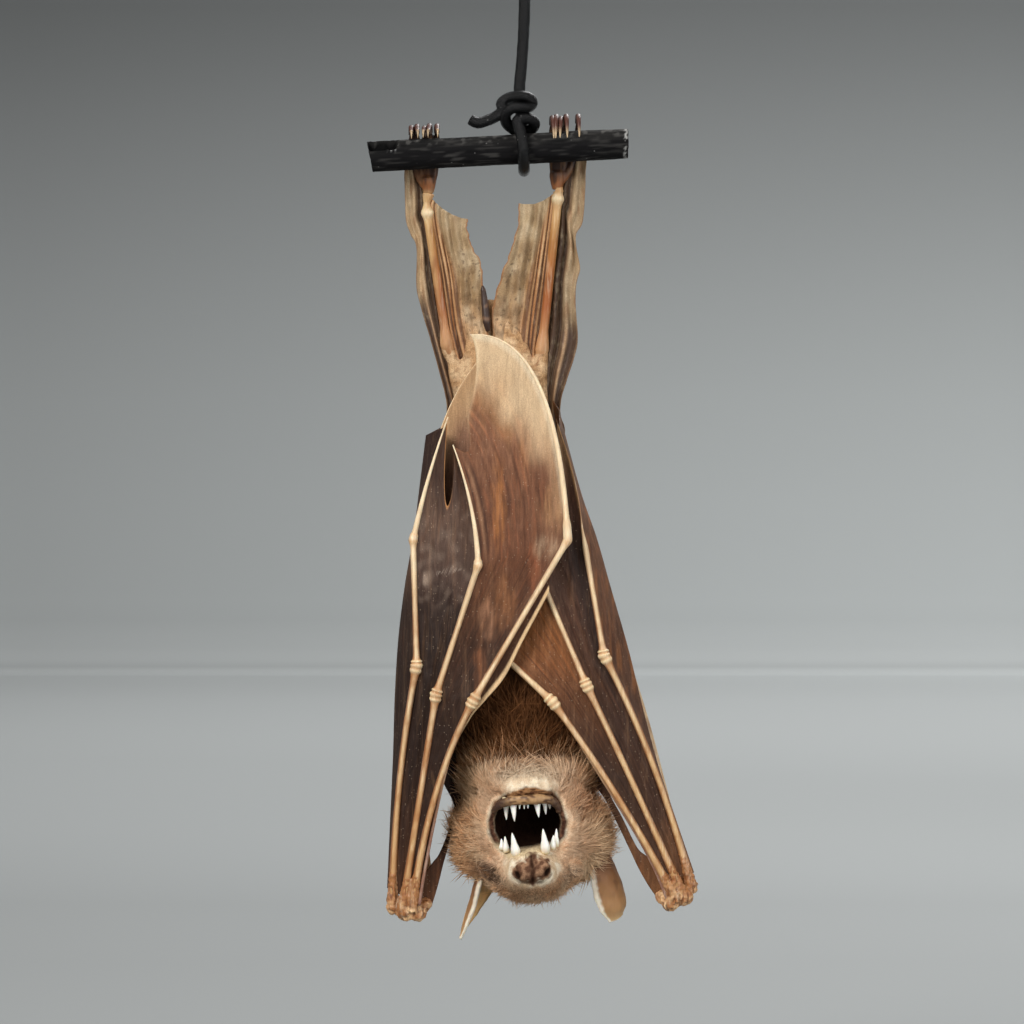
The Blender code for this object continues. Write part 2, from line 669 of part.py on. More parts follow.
RIGHT_WING = Wing(
    name="right",
    index=((29.3, -4.0, -205.6), (25.4, -6.8, -195.0), (15.6, -9.8, -180.0), (5.8, -10.6, -169.0)),
    third=Digit((31.0, -4.2, -206.0), (20.4, -8.2, -185.1), (6.1, -11.2, -165.8), (-18.2, -5.9, -143.5),
                (-20.8, -4.6, -112.0), (-4.2, -3.5, -95.1)),
    fourth=Digit((32.3, -3.6, -205.0), (22.8, -7.7, -183.0), (12.8, -10.2, -162.4), (3.0, -9.4, -139.5),
                 (4.8, -8.2, -127.0), (5.9, -7.2, -115.1)),
    fifth=Digit((34.0, -2.2, -203.4), (28.0, -5.6, -179.3), (16.4, -8.7, -156.7), (12.1, -7.7, -131.6),
                (11.2, -7.2, -121.0), (6.7, -6.0, -109.9)),
    wrist_knobs=((34.0, -1.8, -203.2, 1.5), (32.4, -3.0, -205.0, 2.0), (29.8, -3.0, -206.2, 1.9),
                 (28.3, -2.0, -205.2, 1.5), (32.2, 0.6, -203.8, 2.3)),
    forearm=((32.4, 1.6, -201.0), (24.2, 3.4, -168.0), (13.8, 6.8, -132.0)),
    shoulder=(14.6, 7.8, -165.0),
    fold=((34.6, -0.6, -200.5), (31.0, -0.4, -190.0), (27.4, 0.0, -179.0), (24.4, 0.4, -167.5),
          (21.6, 0.8, -156.0), (18.2, 1.2, -144.0), (15.4, 1.5, -134.0), (12.2, 1.5, -125.0),
          (8.8, 1.0, -113.2)),
    back_fold=((20.2, 2.2, -151.0), (17.6, 2.4, -142.0), (14.9, 2.7, -133.0), (11.8, 2.5, -124.0),
               (9.0, 2.0, -114.0)),
    flank=((13.4, 3.6, -150.0), (11.6, 3.8, -138.0), (9.6, 4.0, -126.0), (6.8, 4.4, -115.0),
           (6.6, 4.4, -108.0)),
    strap_outer=((16.6, 3.0, -180.0), (20.2, 0.6, -189.0), (23.4, -0.8, -196.6), (26.6, -2.2, -201.6),
                 (28.8, -2.4, -205.0)),
    strap_inner=((14.6, 3.4, -180.0), (18.4, 0.8, -189.6), (22.0, -1.0, -197.4), (25.0, -1.8, -202.4),
                 (27.4, -2.2, -205.6)),
    thumb=((29.6, 1.6, -203.0), (26.2, 2.8, -197.6), (24.6, 3.6, -191.6), (23.2, 2.6, -188.6)),
)


def hem_of_tip(u):
    """The free edge between the third and fourth finger: a shallow hollow."""
    return 1.0 - 0.075 * math.sin(math.pi * u)


def hem_of_middle(u):
    """The free edge between the fourth and fifth finger: a deep, narrow slot."""
    return 0.97 - 0.24 * math.exp(-((u - 0.5) / 0.2) ** 2)


def build_wing(wing, trunk, neck, head, jaw, thigh):
    """The bones of one folded wing and the skin between them."""
    side = wing.name
    knobs = [ball(f"wrist_{side}", wing.wrist_knobs[0][:3], (wing.wrist_knobs[0][3],) * 3, "bone", 6, 5)]
    for x, y, z, radius in wing.wrist_knobs[1:]:
        knobs.append(ball("knob", (x, y, z), (radius,) * 3, None, 6, 5))
    wrist = unite(*knobs)

    digits = []
    for number, digit in ((3, wing.third), (4, wing.fourth), (5, wing.fifth)):
        digits.append(carve(digit.build(f"digit_{number}_{side}"), wrist, *digits[-1:]))
    index_path = smooth(wing.index, 8)
    index = bake(tube(f"digit_2_{side}", index_path, [0.7, 0.6, 0.55, 0.55, 0.5, 0.5, 0.5, 0.3], "bone",
                      resolution=1))
    index = carve(index, wrist, *digits)

    forearm_path = smooth(wing.forearm, 8)
    forearm = bake(tube(f"forearm_{side}", forearm_path, [1.5, 1.2, 1.15, 1.15, 1.2, 1.3, 1.5, 1.8], "bone",
                        resolution=1))
    forearm = carve(forearm, wrist)
    thumb = bake(tube(f"thumb_{side}", smooth(wing.thumb, 7), [1.1, 1.0, 0.85, 0.8, 0.75, 0.5, 0.2], "bone",
                      resolution=1))
    carve(thumb, wrist, forearm)
    elbow = wing.forearm[-1]
    arm_path = smooth([elbow, blend(elbow, wing.shoulder, 0.5), wing.shoulder], 6)
    arm = bake(tube(f"upper_arm_{side}", arm_path, [1.4, 1.7, 2.0, 2.4, 2.9, 3.2], "fur"))
    arm = carve(arm, trunk, forearm)

    bones = [wrist, index, *digits, forearm, arm]
    margins = (WEB_CLEARANCE, WEB_CLEARANCE)
    webs = [
        web(f"tip_web_{side}", wing.fourth.at, wing.third.at, start=0.17, hem=hem_of_tip, margins=margins,
            belly=(0, -0.5, 0), columns=4, rows=6),
        web(f"middle_web_{side}", wing.fifth.at, wing.fourth.at, start=0.13, hem=hem_of_middle,
            margins=margins, belly=(0, -0.5, 0), columns=5, rows=6),
        web(f"side_web_{side}", wing.fifth.at, lambda v: along(wing.fold, v), start=0.1,
            hem=lambda u: 0.98, margins=(WEB_CLEARANCE, 0.0), columns=2, rows=7),
        web(f"flank_web_{side}", lambda v: along(wing.flank, v), lambda v: along(wing.back_fold, v),
            columns=3, rows=5),
        web(f"arm_web_{side}", lambda v: along(forearm_path[::-1], 0.18 + 0.5 * v),
            lambda v: along(arm_path, 0.18 + 0.75 * v), margins=(1.75, 2.6), columns=3, rows=6,
            hem=lambda u: 0.95 - 0.25 * math.sin(math.pi * u)),
        web(f"shoulder_web_{side}", lambda v: along(wing.strap_outer, v),
            lambda v: along(wing.strap_inner, v), columns=1, rows=6),
    ]
    solids = (*bones, trunk, neck, head, jaw, thigh)
    for skin in webs:
        carve(skin, *solids)


def main():
    """Clears the scene and builds every piece from the hook down to the ears."""
    for old in list(bpy.data.objects):
        bpy.data.objects.remove(old, do_unlink=True)
    build_hook()
    stick = build_stick()
    build_cord()
    head, jaw = build_head()
    trunk = build_trunk(head, jaw)
    neck = bpy.data.objects["neck"]
    for leg, wing in ((LEFT_LEG, LEFT_WING), (RIGHT_LEG, RIGHT_WING)):
        thigh = build_leg(leg, trunk, stick)
        build_wing(wing, trunk, neck, head, jaw, thigh)


main()
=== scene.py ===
"""A short-nosed fruit bat, dried and mounted as it roosts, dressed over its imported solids.

Sizes and places are millimetres in the tables and functions below, and `at` turns them into metres.
+Z is up, the belly faces -Y and the bat's own left side is towards -X. The origin is the middle of
the hook plate's flat top.
"""

from __future__ import annotations

import logging
import math
from collections.abc import Callable, Iterable, Sequence
from dataclasses import dataclass
from enum import StrEnum
from functools import cache

import bmesh
import bpy
import numpy as np
from mathutils import Matrix, Vector, noise

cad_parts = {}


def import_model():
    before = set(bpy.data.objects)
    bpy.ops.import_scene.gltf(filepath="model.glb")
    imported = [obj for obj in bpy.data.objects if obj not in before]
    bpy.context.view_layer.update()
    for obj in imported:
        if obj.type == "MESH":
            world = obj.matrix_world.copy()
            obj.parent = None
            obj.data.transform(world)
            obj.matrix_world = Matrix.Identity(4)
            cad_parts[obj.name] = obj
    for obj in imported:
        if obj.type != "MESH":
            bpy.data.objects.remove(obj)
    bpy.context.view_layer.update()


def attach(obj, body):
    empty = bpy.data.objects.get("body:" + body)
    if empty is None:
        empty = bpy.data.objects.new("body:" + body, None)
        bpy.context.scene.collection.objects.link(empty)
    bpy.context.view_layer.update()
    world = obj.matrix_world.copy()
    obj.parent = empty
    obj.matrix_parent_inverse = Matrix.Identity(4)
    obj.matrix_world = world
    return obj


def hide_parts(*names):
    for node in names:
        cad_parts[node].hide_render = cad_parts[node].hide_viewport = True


LOG = logging.getLogger("fruit_bat")
MM = 0.001

Point = tuple[float, float, float]
Color = tuple[float, float, float]
Surface = Callable[[float, float], Point]
Shade = Callable[[float, float, Point], Color]


class Side(StrEnum):
    """One side of the bat, as the bat itself would name it."""

    LEFT = "left"
    RIGHT = "right"

    @property
    def sign(self) -> int:
        """The side's direction along X."""
        return -1 if self is Side.LEFT else 1


# ---------------------------------------------------------------- small tools


def at(point: Iterable[float]) -> Vector:
    """A point given in millimetres, in metres."""
    return Vector(point) * MM


def tone(red: float, green: float, blue: float) -> Color:
    """A colour given as it looks on a screen, 0 to 255, turned into linear light."""
    def linear(value: float) -> float:
        """One channel in linear light."""
        share = value / 255.0
        return share / 12.92 if share <= 0.04045 else ((share + 0.055) / 1.055) ** 2.4

    return (linear(red), linear(green), linear(blue))


def blend(a: Sequence[float], b: Sequence[float], t: float) -> tuple:
    """The point or colour a share t of the way from a to b."""
    return tuple(p + (q - p) * t for p, q in zip(a, b))


def ease(low: float, high: float, value: float) -> float:
    """0 below low, 1 above high, and a smooth step between."""
    t = min(max((value - low) / (high - low), 0.0), 1.0)
    return t * t * (3 - 2 * t)


def bell(value: float, middle: float, spread: float) -> float:
    """1 at the middle, falling off on both sides in a bell curve."""
    return math.exp(-(((value - middle) / spread) ** 2))


def painted(color: Color, *layers: tuple[Sequence[float], float]) -> Color:
    """The colour with layers laid over it in turn, each a colour on a screen and its share."""
    for hue, share in layers:
        color = blend(color, tone(*hue), share)
    return color


def bow(start: Point, control: Point, end: Point, t: float) -> Point:
    """A point on the quadratic curve from start to end, pulled towards control."""
    return blend(blend(start, control, t), blend(control, end, t), t)


def along(points: Sequence[Point], t: float) -> Point:
    """A point on the smooth curve through the points, at a share t of their count."""
    spans = len(points) - 1
    place = min(max(t, 0.0), 1.0) * spans
    i = min(int(place), spans - 1)
    s = place - i
    p1, p2 = points[i], points[i + 1]
    p0 = points[i - 1] if i else p1
    p3 = points[i + 2] if i + 2 <= spans else p2
    return tuple(
        b + s * (c - a + s * (2 * a - 5 * b + 4 * c - d + s * (3 * b - a - 3 * c + d))) / 2
        for a, b, c, d in zip(p0, p1, p2, p3)
    )


def smooth(points: Sequence[Point], count: int) -> list[Point]:
    """A list of count points on the smooth curve through the given ones."""
    return [along(points, i / (count - 1)) for i in range(count)]


def length_of(points: Sequence[Point]) -> float:
    """The length of the run of straight steps through the points."""
    return sum((Vector(b) - Vector(a)).length for a, b in zip(points, points[1:]))


def even(points: Sequence[Point], count: int) -> list[Point]:
    """A list of count points at even distances on the smooth curve through the given ones."""
    fine = smooth(points, 30 * len(points))
    run = [0.0]
    for a, b in zip(fine, fine[1:]):
        run.append(run[-1] + (Vector(b) - Vector(a)).length)
    marks = np.linspace(0.0, run[-1], count)
    axes = [np.interp(marks, run, [p[k] for p in fine]) for k in range(3)]
    return [tuple(float(v) for v in row) for row in zip(*axes)]


def taper(count: int, stops: Sequence[float], widths: Sequence[float]) -> list[float]:
    """The radii at count points of a bar, from its widths at a few shares of its length."""
    return [float(np.interp(i / (count - 1), stops, widths)) for i in range(count)]


def ripple(point: Iterable[float], scale: float, seed: float = 0.0) -> float:
    """Smooth noise from about -1 to 1 at a point, with lumps of about scale millimetres."""
    return noise.noise(Vector(point) / scale + Vector((seed, seed * 0.7, -seed)))


# ---------------------------------------------------------------- meshes


def object_of(name: str, bm: bmesh.types.BMesh) -> bpy.types.Object:
    """Turns a bmesh, which is freed, into a smooth object in the scene."""
    mesh = bpy.data.meshes.new(name)
    bm.to_mesh(mesh)
    bm.free()
    mesh.shade_smooth()
    made = bpy.data.objects.new(name, mesh)
    bpy.context.collection.objects.link(made)
    return made


def finish_mesh(name: str, bm: bmesh.types.BMesh, finish: Finish, *nodes: str) -> bpy.types.Object:
    """Turns a bmesh into a finished piece of the bat that rides with it.

    Args:
        name: The piece's name.
        bm: Its shape; freed here.
        finish: Its finish.
        *nodes: The solids that it stands in for, if any.

    Returns:
        The new object.
    """
    piece = object_of(name, bm)
    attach(piece, "root")
    LOG.info("%s: %d faces", name, len(piece.data.polygons))
    finish.dress(piece)
    if nodes:
        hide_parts(*nodes)
    return piece


def cloth_of(
    surface: Surface,
    columns: int,
    rows: int,
    shade: Shade | None = None,
    wrap: bool = False,
    capped: bool = False,
) -> bmesh.types.BMesh:
    """A grid laid over surface(u, v), with its UV map and, in Tint, its colours.

    Args:
        surface: The place of each point, from u and v between 0 and 1.
        columns: Faces across, along u.
        rows: Faces along v.
        shade: The colour of each point, from u, v and its place.
        wrap: Whether the two sides meet, as on a tube.
        capped: Whether the open ends of a tube are closed.

    Returns:
        The shaped bmesh, in metres, its faces turned outwards where it is closed.
    """
    bm = bmesh.new()
    bm.loops.layers.uv.new("Flat")
    bmesh.ops.create_grid(bm, x_segments=columns, y_segments=rows, size=1.0, calc_uvs=True)
    tint = bm.verts.layers.float_color.new("Tint")
    for vertex in bm.verts:
        u, v = vertex.co.x / 2 + 0.5, vertex.co.y / 2 + 0.5
        place = surface(u, v)
        vertex.co = at(place)
        if shade:
            vertex[tint] = (*shade(u, v, place), 1.0)
    if wrap:
        bmesh.ops.remove_doubles(bm, verts=bm.verts, dist=0.0005 * MM)
    if capped:
        bmesh.ops.holes_fill(bm, edges=[edge for edge in bm.edges if edge.is_boundary], sides=0)
    if wrap:
        bmesh.ops.recalc_face_normals(bm, faces=bm.faces)
    return bm


def tube_of(
    path: Sequence[Point],
    radii: Sequence[float],
    sides: int = 10,
    shade: Shade | None = None,
    flat: float = 1.0,
) -> bmesh.types.BMesh:
    """A closed round bar along a path, as a grid that is rolled up.

    Args:
        path: Its centreline, in millimetres.
        radii: Its radius at each point of the path.
        sides: Faces round it.
        shade: The colour of each point, with v along the bar.
        flat: Its thickness front to back, as a share of its width.

    Returns:
        The bar's bmesh, in metres.
    """
    spots = [Vector(point) for point in path]
    runs = [(b - a).normalized() for a, b in zip(spots, spots[1:])]
    runs = [runs[0]] + [(a + b).normalized() for a, b in zip(runs, runs[1:])] + [runs[-1]]
    side = runs[0].orthogonal().normalized()
    frames = []
    for run in runs:
        side = (side - run * side.dot(run)).normalized()
        frames.append((side.copy(), run.cross(side).normalized()))
    last = len(spots) - 1

    def surface(u: float, v: float) -> Point:
        """The bar's skin, with v along its path and u round it."""
        i = min(max(round(v * last), 0), last)
        turn = 2 * math.pi * u
        offset = frames[i][0] * math.cos(turn) + frames[i][1] * math.sin(turn)
        offset.y *= flat
        return tuple(spots[i] + offset * radii[i])

    return cloth_of(surface, sides, last, shade, wrap=True, capped=True)


def join(parts: Iterable[bmesh.types.BMesh]) -> bmesh.types.BMesh:
    """One bmesh out of several, which are freed."""
    whole = None
    for part in parts:
        if whole is None:
            whole = part
            continue
        mesh = bpy.data.meshes.new("joined")
        part.to_mesh(mesh)
        part.free()
        whole.from_mesh(mesh)
        bpy.data.meshes.remove(mesh)
    return whole


def relax(bm: bmesh.types.BMesh, verts: Iterable[bmesh.types.BMVert]) -> None:
    """Moves points halfway to the middle of their neighbours, which smooths the mesh."""
    bmesh.ops.smooth_vert(bm, verts=verts, factor=0.5, use_axis_x=True, use_axis_y=True, use_axis_z=True)


def thicken(piece: bpy.types.Object, thickness: float) -> None:
    """Gives a sheet its thickness, in millimetres, half on each side."""
    wall = piece.modifiers.new("wall", "SOLIDIFY")
    wall.thickness = thickness * MM
    wall.offset = 0.0


# ---------------------------------------------------------------- shader parts


class NodePen:
    """Writes nodes into a tree and joins them up, from left to right."""

    def __init__(self, tree: bpy.types.NodeTree) -> None:
        """Starts on a node tree."""
        self.tree = tree

    def add(self, kind: str, values: dict | None = None, **settings: object) -> bpy.types.Node:
        """Adds one node.

        Args:
            kind: The node's type name.
            values: Socket name or number to a value, or to the socket that feeds it.
            **settings: Properties of the node itself.

        Returns:
            The node.
        """
        node = self.tree.nodes.new(kind)
        for key, value in settings.items():
            setattr(node, key, value)
        for key, value in (values or {}).items():
            socket = node.inputs[key]
            if isinstance(value, bpy.types.NodeSocket):
                self.tree.links.new(value, socket)
            else:
                socket.default_value = value
        return node

    def math(self, operation: str, *values: object, clamp: bool = False) -> bpy.types.NodeSocket:
        """The result of a Math node."""
        node = self.add("ShaderNodeMath", dict(enumerate(values)), operation=operation, use_clamp=clamp)
        return node.outputs[0]

    def noise(
        self, vector: object, scale: float, detail: float = 3.0, rough: float = 0.55
    ) -> bpy.types.NodeSocket:
        """The grey value of a noise texture."""
        values = {"Vector": vector, "Scale": scale, "Detail": detail, "Roughness": rough}
        return self.add("ShaderNodeTexNoise", values).outputs[0]

    def span(
        self, value: object, low: float, high: float, to_low: float = 0.0, to_high: float = 1.0
    ) -> bpy.types.NodeSocket:
        """A value moved from one range to another and held inside it."""
        values = {"Value": value, "From Min": low, "From Max": high, "To Min": to_low, "To Max": to_high}
        return self.add("ShaderNodeMapRange", values, clamp=True).outputs[0]

    def mix(self, share: object, a: object, b: object, mode: str = "MIX") -> bpy.types.NodeSocket:
        """Two colours mixed by a share."""
        node = self.add("ShaderNodeMix", data_type="RGBA", blend_type=mode)
        for socket, value in ((node.inputs[0], share), (node.inputs[6], a), (node.inputs[7], b)):
            if isinstance(value, bpy.types.NodeSocket):
                self.tree.links.new(value, socket)
            else:
                socket.default_value = value if isinstance(value, float) else (*value, 1.0)
        return node.outputs[2]


def group_of(name: str, inputs: dict[str, object], outputs: dict[str, str]) -> tuple:
    """Starts a shader node group with named sockets.

    Args:
        name: The group's name.
        inputs: Input name to its default, a number, a colour of three or the word "vector".
        outputs: Output name to its socket type.

    Returns:
        The tree, its pen, its input node and its output node.
    """
    tree = bpy.data.node_groups.new(name, "ShaderNodeTree")
    for key, value in inputs.items():
        if value == "vector":
            tree.interface.new_socket(name=key, in_out="INPUT", socket_type="NodeSocketVector")
        elif isinstance(value, tuple):
            socket = tree.interface.new_socket(name=key, in_out="INPUT", socket_type="NodeSocketColor")
            socket.default_value = (*value, 1.0)
        else:
            socket = tree.interface.new_socket(name=key, in_out="INPUT", socket_type="NodeSocketFloat")
            socket.default_value = value
    for key, kind in outputs.items():
        tree.interface.new_socket(name=key, in_out="OUTPUT", socket_type=kind)
    return tree, NodePen(tree), tree.nodes.new("NodeGroupInput"), tree.nodes.new("NodeGroupOutput")


@cache
def streak_group() -> bpy.types.NodeTree:
    """Long streaks and blotches, as on dried skin, wood or bone: a mask and a height."""
    tree, pen, given, made = group_of(
        "Streaks",
        {"Vector": "vector", "Across": 40.0, "Along": 4.0, "Fine": 160.0},
        {"Mask": "NodeSocketFloat", "Height": "NodeSocketFloat", "Grain": "NodeSocketFloat"},
    )
    stretched = pen.add(
        "ShaderNodeCombineXYZ",
        {"X": given.outputs["Across"], "Y": given.outputs["Along"], "Z": given.outputs["Across"]}
    )
    place = pen.add("ShaderNodeVectorMath", {0: given.outputs["Vector"], 1: stretched.outputs[0]},
                    operation="MULTIPLY").outputs[0]
    broad = pen.noise(place, 1.0, 4.0, 0.6)
    fine = pen.add("ShaderNodeVectorMath", {0: place, 1: (4.0, 2.2, 4.0)}, operation="MULTIPLY").outputs[0]
    thin = pen.noise(fine, 1.0, 3.0, 0.6)
    grain = pen.noise(given.outputs["Vector"], 1.0, 2.0)
    tree.links.new(given.outputs["Fine"], grain.node.inputs["Scale"])
    mask = pen.math("ADD", pen.math("MULTIPLY", broad, 0.62), pen.math("MULTIPLY", thin, 0.38))
    tree.links.new(pen.span(mask, 0.34, 0.68), made.inputs["Mask"])
    height = pen.math("ADD", mask, pen.math("MULTIPLY", grain, 0.25))
    tree.links.new(height, made.inputs["Height"])
    tree.links.new(pen.span(grain, 0.3, 0.7), made.inputs["Grain"])
    return tree


@cache
def speck_group() -> bpy.types.NodeTree:
    """Small scattered specks, as of dust or pores: a mask of 0 or 1 with soft edges."""
    tree, pen, given, made = group_of(
        "Specks", {"Vector": "vector", "Scale": 900.0, "Amount": 0.3}, {"Mask": "NodeSocketFloat"}
    )
    cells = pen.add(
        "ShaderNodeTexVoronoi", {"Vector": given.outputs["Vector"], "Scale": given.outputs["Scale"]}
    )
    core = pen.span(cells.outputs["Distance"], 0.1, 0.24, 1.0, 0.0)
    parted = pen.add("ShaderNodeSeparateColor", {0: cells.outputs["Color"]})
    chosen = pen.math("LESS_THAN", parted.outputs[0], given.outputs["Amount"])
    tree.links.new(pen.math("MULTIPLY", core, chosen), made.inputs["Mask"])
    return tree


@dataclass(frozen=True)
class Finish:
    """One finish: how its tint, streaks, specks, gloss and relief are set."""

    name: str
    slot: str
    base: Color = (0.5, 0.5, 0.5)
    tinted: bool = True
    streak: Color = (0.1, 0.06, 0.04)
    streak_share: float = 0.4
    pale: Color = (0.7, 0.6, 0.5)
    pale_share: float = 0.0
    across: float = 40.0
    lengthwise: float = 4.0
    from_object: bool = True
    speck: Color = (0.6, 0.55, 0.48)
    speck_share: float = 0.0
    speck_scale: float = 900.0
    speck_amount: float = 0.3
    grain: float = 0.0
    roughness: tuple[float, float] = (0.5, 0.7)
    bump: float = 0.25
    bump_depth: float = 0.15
    fine: float = 1600.0
    specular: float = 0.5
    coat: float = 0.0
    coat_roughness: float = 0.2
    metallic: float = 0.0
    subsurface: float = 0.0

    def material(self) -> bpy.types.Material:
        """The finish's node material, made once."""
        made = bpy.data.materials.get(self.name)
        if made:
            return made
        made = bpy.data.materials.new(self.name)
        made.use_nodes = True
        pen = NodePen(made.node_tree)
        shader = made.node_tree.nodes["Principled BSDF"]
        places = pen.add("ShaderNodeTexCoord")
        place = places.outputs["Object"] if self.from_object else places.outputs["UV"]
        streaks = pen.add("ShaderNodeGroup", node_tree=streak_group())
        streaks.inputs["Across"].default_value = self.across
        streaks.inputs["Along"].default_value = self.lengthwise
        streaks.inputs["Fine"].default_value = self.fine
        if self.from_object:
            place = pen.add("ShaderNodeMapping",
                            {"Vector": place, "Rotation": (math.pi / 2, 0.0, 0.0)}).outputs[0]
        made.node_tree.links.new(place, streaks.inputs["Vector"])
        if self.tinted:
            color = pen.add("ShaderNodeAttribute", attribute_name="Tint").outputs["Color"]
        else:
            color = pen.add("ShaderNodeRGB").outputs[0]
            color.default_value = (*self.base, 1.0)
        share = pen.math("MULTIPLY", streaks.outputs["Mask"], self.streak_share)
        color = pen.mix(share, color, self.streak)
        if self.pale_share > 0:
            light = pen.span(streaks.outputs["Mask"], 0.42, 0.0, 0.0, self.pale_share)
            color = pen.mix(light, color, self.pale)
        if self.grain > 0:
            color = pen.mix(self.grain, color, streaks.outputs["Grain"], "OVERLAY")
        if self.speck_share > 0:
            specks = pen.add("ShaderNodeGroup", node_tree=speck_group())
            specks.inputs["Scale"].default_value = self.speck_scale
            specks.inputs["Amount"].default_value = self.speck_amount
            made.node_tree.links.new(places.outputs["Object"], specks.inputs["Vector"])
            color = pen.mix(pen.math("MULTIPLY", specks.outputs["Mask"], self.speck_share), color, self.speck)
        made.node_tree.links.new(color, shader.inputs["Base Color"])
        rough = pen.span(streaks.outputs["Mask"], 0.0, 1.0, *self.roughness)
        made.node_tree.links.new(rough, shader.inputs["Roughness"])
        relief = pen.add(
            "ShaderNodeBump",
            {"Strength": self.bump, "Distance": self.bump_depth * MM, "Height": streaks.outputs["Height"]}
        )
        made.node_tree.links.new(relief.outputs[0], shader.inputs["Normal"])
        shader.inputs["Metallic"].default_value = self.metallic
        shader.inputs["Specular IOR Level"].default_value = self.specular
        shader.inputs["Coat Weight"].default_value = self.coat
        shader.inputs["Coat Roughness"].default_value = self.coat_roughness
        if self.subsurface > 0:
            shader.inputs["Subsurface Weight"].default_value = self.subsurface
            shader.inputs["Subsurface Scale"].default_value = 0.5 * MM
            shader.inputs["Subsurface Radius"].default_value = (1.0, 0.5, 0.25)
        return made

    def dress(self, piece: bpy.types.Object) -> None:
        """Puts the finish on a piece."""
        piece.data.materials.clear()
        piece.data.materials.append(self.material())


# ---------------------------------------------------------------- finishes


WING_SKIN = Finish(
    "dried_wing_skin", "wing_skin", streak=tone(38, 20, 12), streak_share=0.42, pale=tone(186, 140, 100),
    pale_share=0.1,
    across=620.0, lengthwise=60.0, speck=tone(206, 180, 152), speck_share=0.5, speck_scale=2300.0,
    speck_amount=0.17,
    grain=0.2, roughness=(0.46, 0.7), bump=0.8, bump_depth=0.34, fine=5600.0, specular=0.2,
)
PALE_SKIN = Finish(
    "dried_leg_skin", "pale_skin", streak=tone(110, 76, 46), streak_share=0.28, pale=tone(214, 190, 150),
    pale_share=0.2,
    across=900.0, lengthwise=420.0,
    speck=tone(92, 70, 52), speck_share=0.45, speck_scale=2300.0, speck_amount=0.2, grain=0.2,
    roughness=(0.5, 0.72), bump=0.45, bump_depth=0.2, fine=4800.0, specular=0.35,
)
BONE = Finish(
    "finger_bone", "bone", streak=tone(134, 78, 38), streak_share=0.4, pale=tone(255, 240, 212),
    pale_share=0.22,
    across=900.0, lengthwise=110.0, roughness=(0.36, 0.58), bump=0.35, bump_depth=0.14, fine=3600.0,
    specular=0.4,
    subsurface=0.12,
)
EAR_SKIN = Finish(
    "dried_ear_skin", "ear_skin", streak=tone(120, 84, 58), streak_share=0.3, across=380.0, lengthwise=160.0,
    speck=tone(90, 64, 46), speck_share=0.3, speck_scale=2200.0, speck_amount=0.2,
    roughness=(0.5, 0.7), bump=0.4, bump_depth=0.15, specular=0.35, subsurface=0.15,
)
BARE_SKIN = Finish(
    "bare_skin", "nose_skin", streak=tone(44, 26, 20), streak_share=0.4, across=600.0, lengthwise=400.0,
    roughness=(0.4, 0.6), bump=0.6, bump_depth=0.2, fine=5200.0, specular=0.4,
)
CLAW = Finish(
    "claw_horn", "nose_skin", streak=tone(60, 30, 22), streak_share=0.5, across=900.0, lengthwise=90.0,
    roughness=(0.34, 0.55), bump=0.3, bump_depth=0.12, specular=0.35, coat=0.08,
)
PELT = Finish(
    "pelt", "fur", streak=tone(60, 42, 30), streak_share=0.35, across=900.0, lengthwise=420.0, grain=0.3,
    roughness=(0.8, 0.95), bump=0.6, bump_depth=0.3, fine=5200.0, specular=0.0,
)
COAT = Finish(
    "coat_hair", "fur", streak=tone(70, 42, 24), streak_share=0.25, across=900.0, lengthwise=500.0,
    roughness=(0.75, 0.95), bump=0.0, bump_depth=0.02, specular=0.0,
)
TOOTH = Finish(
    "tooth", "bone", streak=tone(214, 190, 150), streak_share=0.25, across=700.0, lengthwise=200.0,
    roughness=(0.14, 0.26), bump=0.08, bump_depth=0.05, specular=0.55, coat=0.4, subsurface=0.2,
)
EYE = Finish(
    "dark_eye", "eye", base=tone(24, 15, 12), tinted=False, streak=tone(44, 26, 18), streak_share=0.3,
    across=300.0,
    lengthwise=300.0, roughness=(0.08, 0.16), bump=0.05, bump_depth=0.03, specular=0.6, coat=0.6,
    coat_roughness=0.05,
)
CHARRED_WOOD = Finish(
    "charred_wood", "stick_wood", streak=tone(12, 12, 13), streak_share=0.8, across=26.0, lengthwise=620.0,
    speck=tone(128, 126, 124), speck_share=0.5, speck_scale=1300.0, speck_amount=0.035,
    roughness=(0.65, 0.9), bump=0.6, bump_depth=0.35, fine=2600.0, specular=0.06,
)
CORD_GLOSS = Finish(
    "waxed_cord", "cord_rubber", base=tone(8, 8, 9), tinted=False, streak=tone(18, 18, 19), streak_share=0.3,
    across=5.0, lengthwise=0.6, from_object=False, speck=tone(150, 148, 144), speck_share=0.35,
    speck_scale=1500.0, speck_amount=0.05, roughness=(0.1, 0.22), bump=0.9, bump_depth=0.3, fine=1500.0,
    specular=0.2,
)
STEEL = Finish(
    "brushed_steel", "hook_steel", base=tone(168, 168, 170), tinted=False, streak=tone(110, 110, 112),
    streak_share=0.4, across=300.0, lengthwise=300.0, roughness=(0.25, 0.42), bump=0.12, bump_depth=0.05,
    metallic=1.0,
)


# ---------------------------------------------------------------- room


@dataclass(frozen=True)
class Softbox:
    """A square soft light: its place, its side in millimetres, its watts, its colour and what it faces."""

    name: str
    place: Point
    size: float
    power: float
    color: Color = (1.0, 1.0, 1.0)
    aim: Point = (0.0, 0.0, -130.0)

    def build(self) -> None:
        """Hangs the light."""
        data = bpy.data.lights.new(self.name, "AREA")
        data.size = self.size * MM
        data.energy = self.power
        data.color = self.color
        light = bpy.data.objects.new(self.name, data)
        light.location = at(self.place)
        light.rotation_euler = (at(self.aim) - at(self.place)).to_track_quat("-Z", "Y").to_euler()
        bpy.context.collection.objects.link(light)


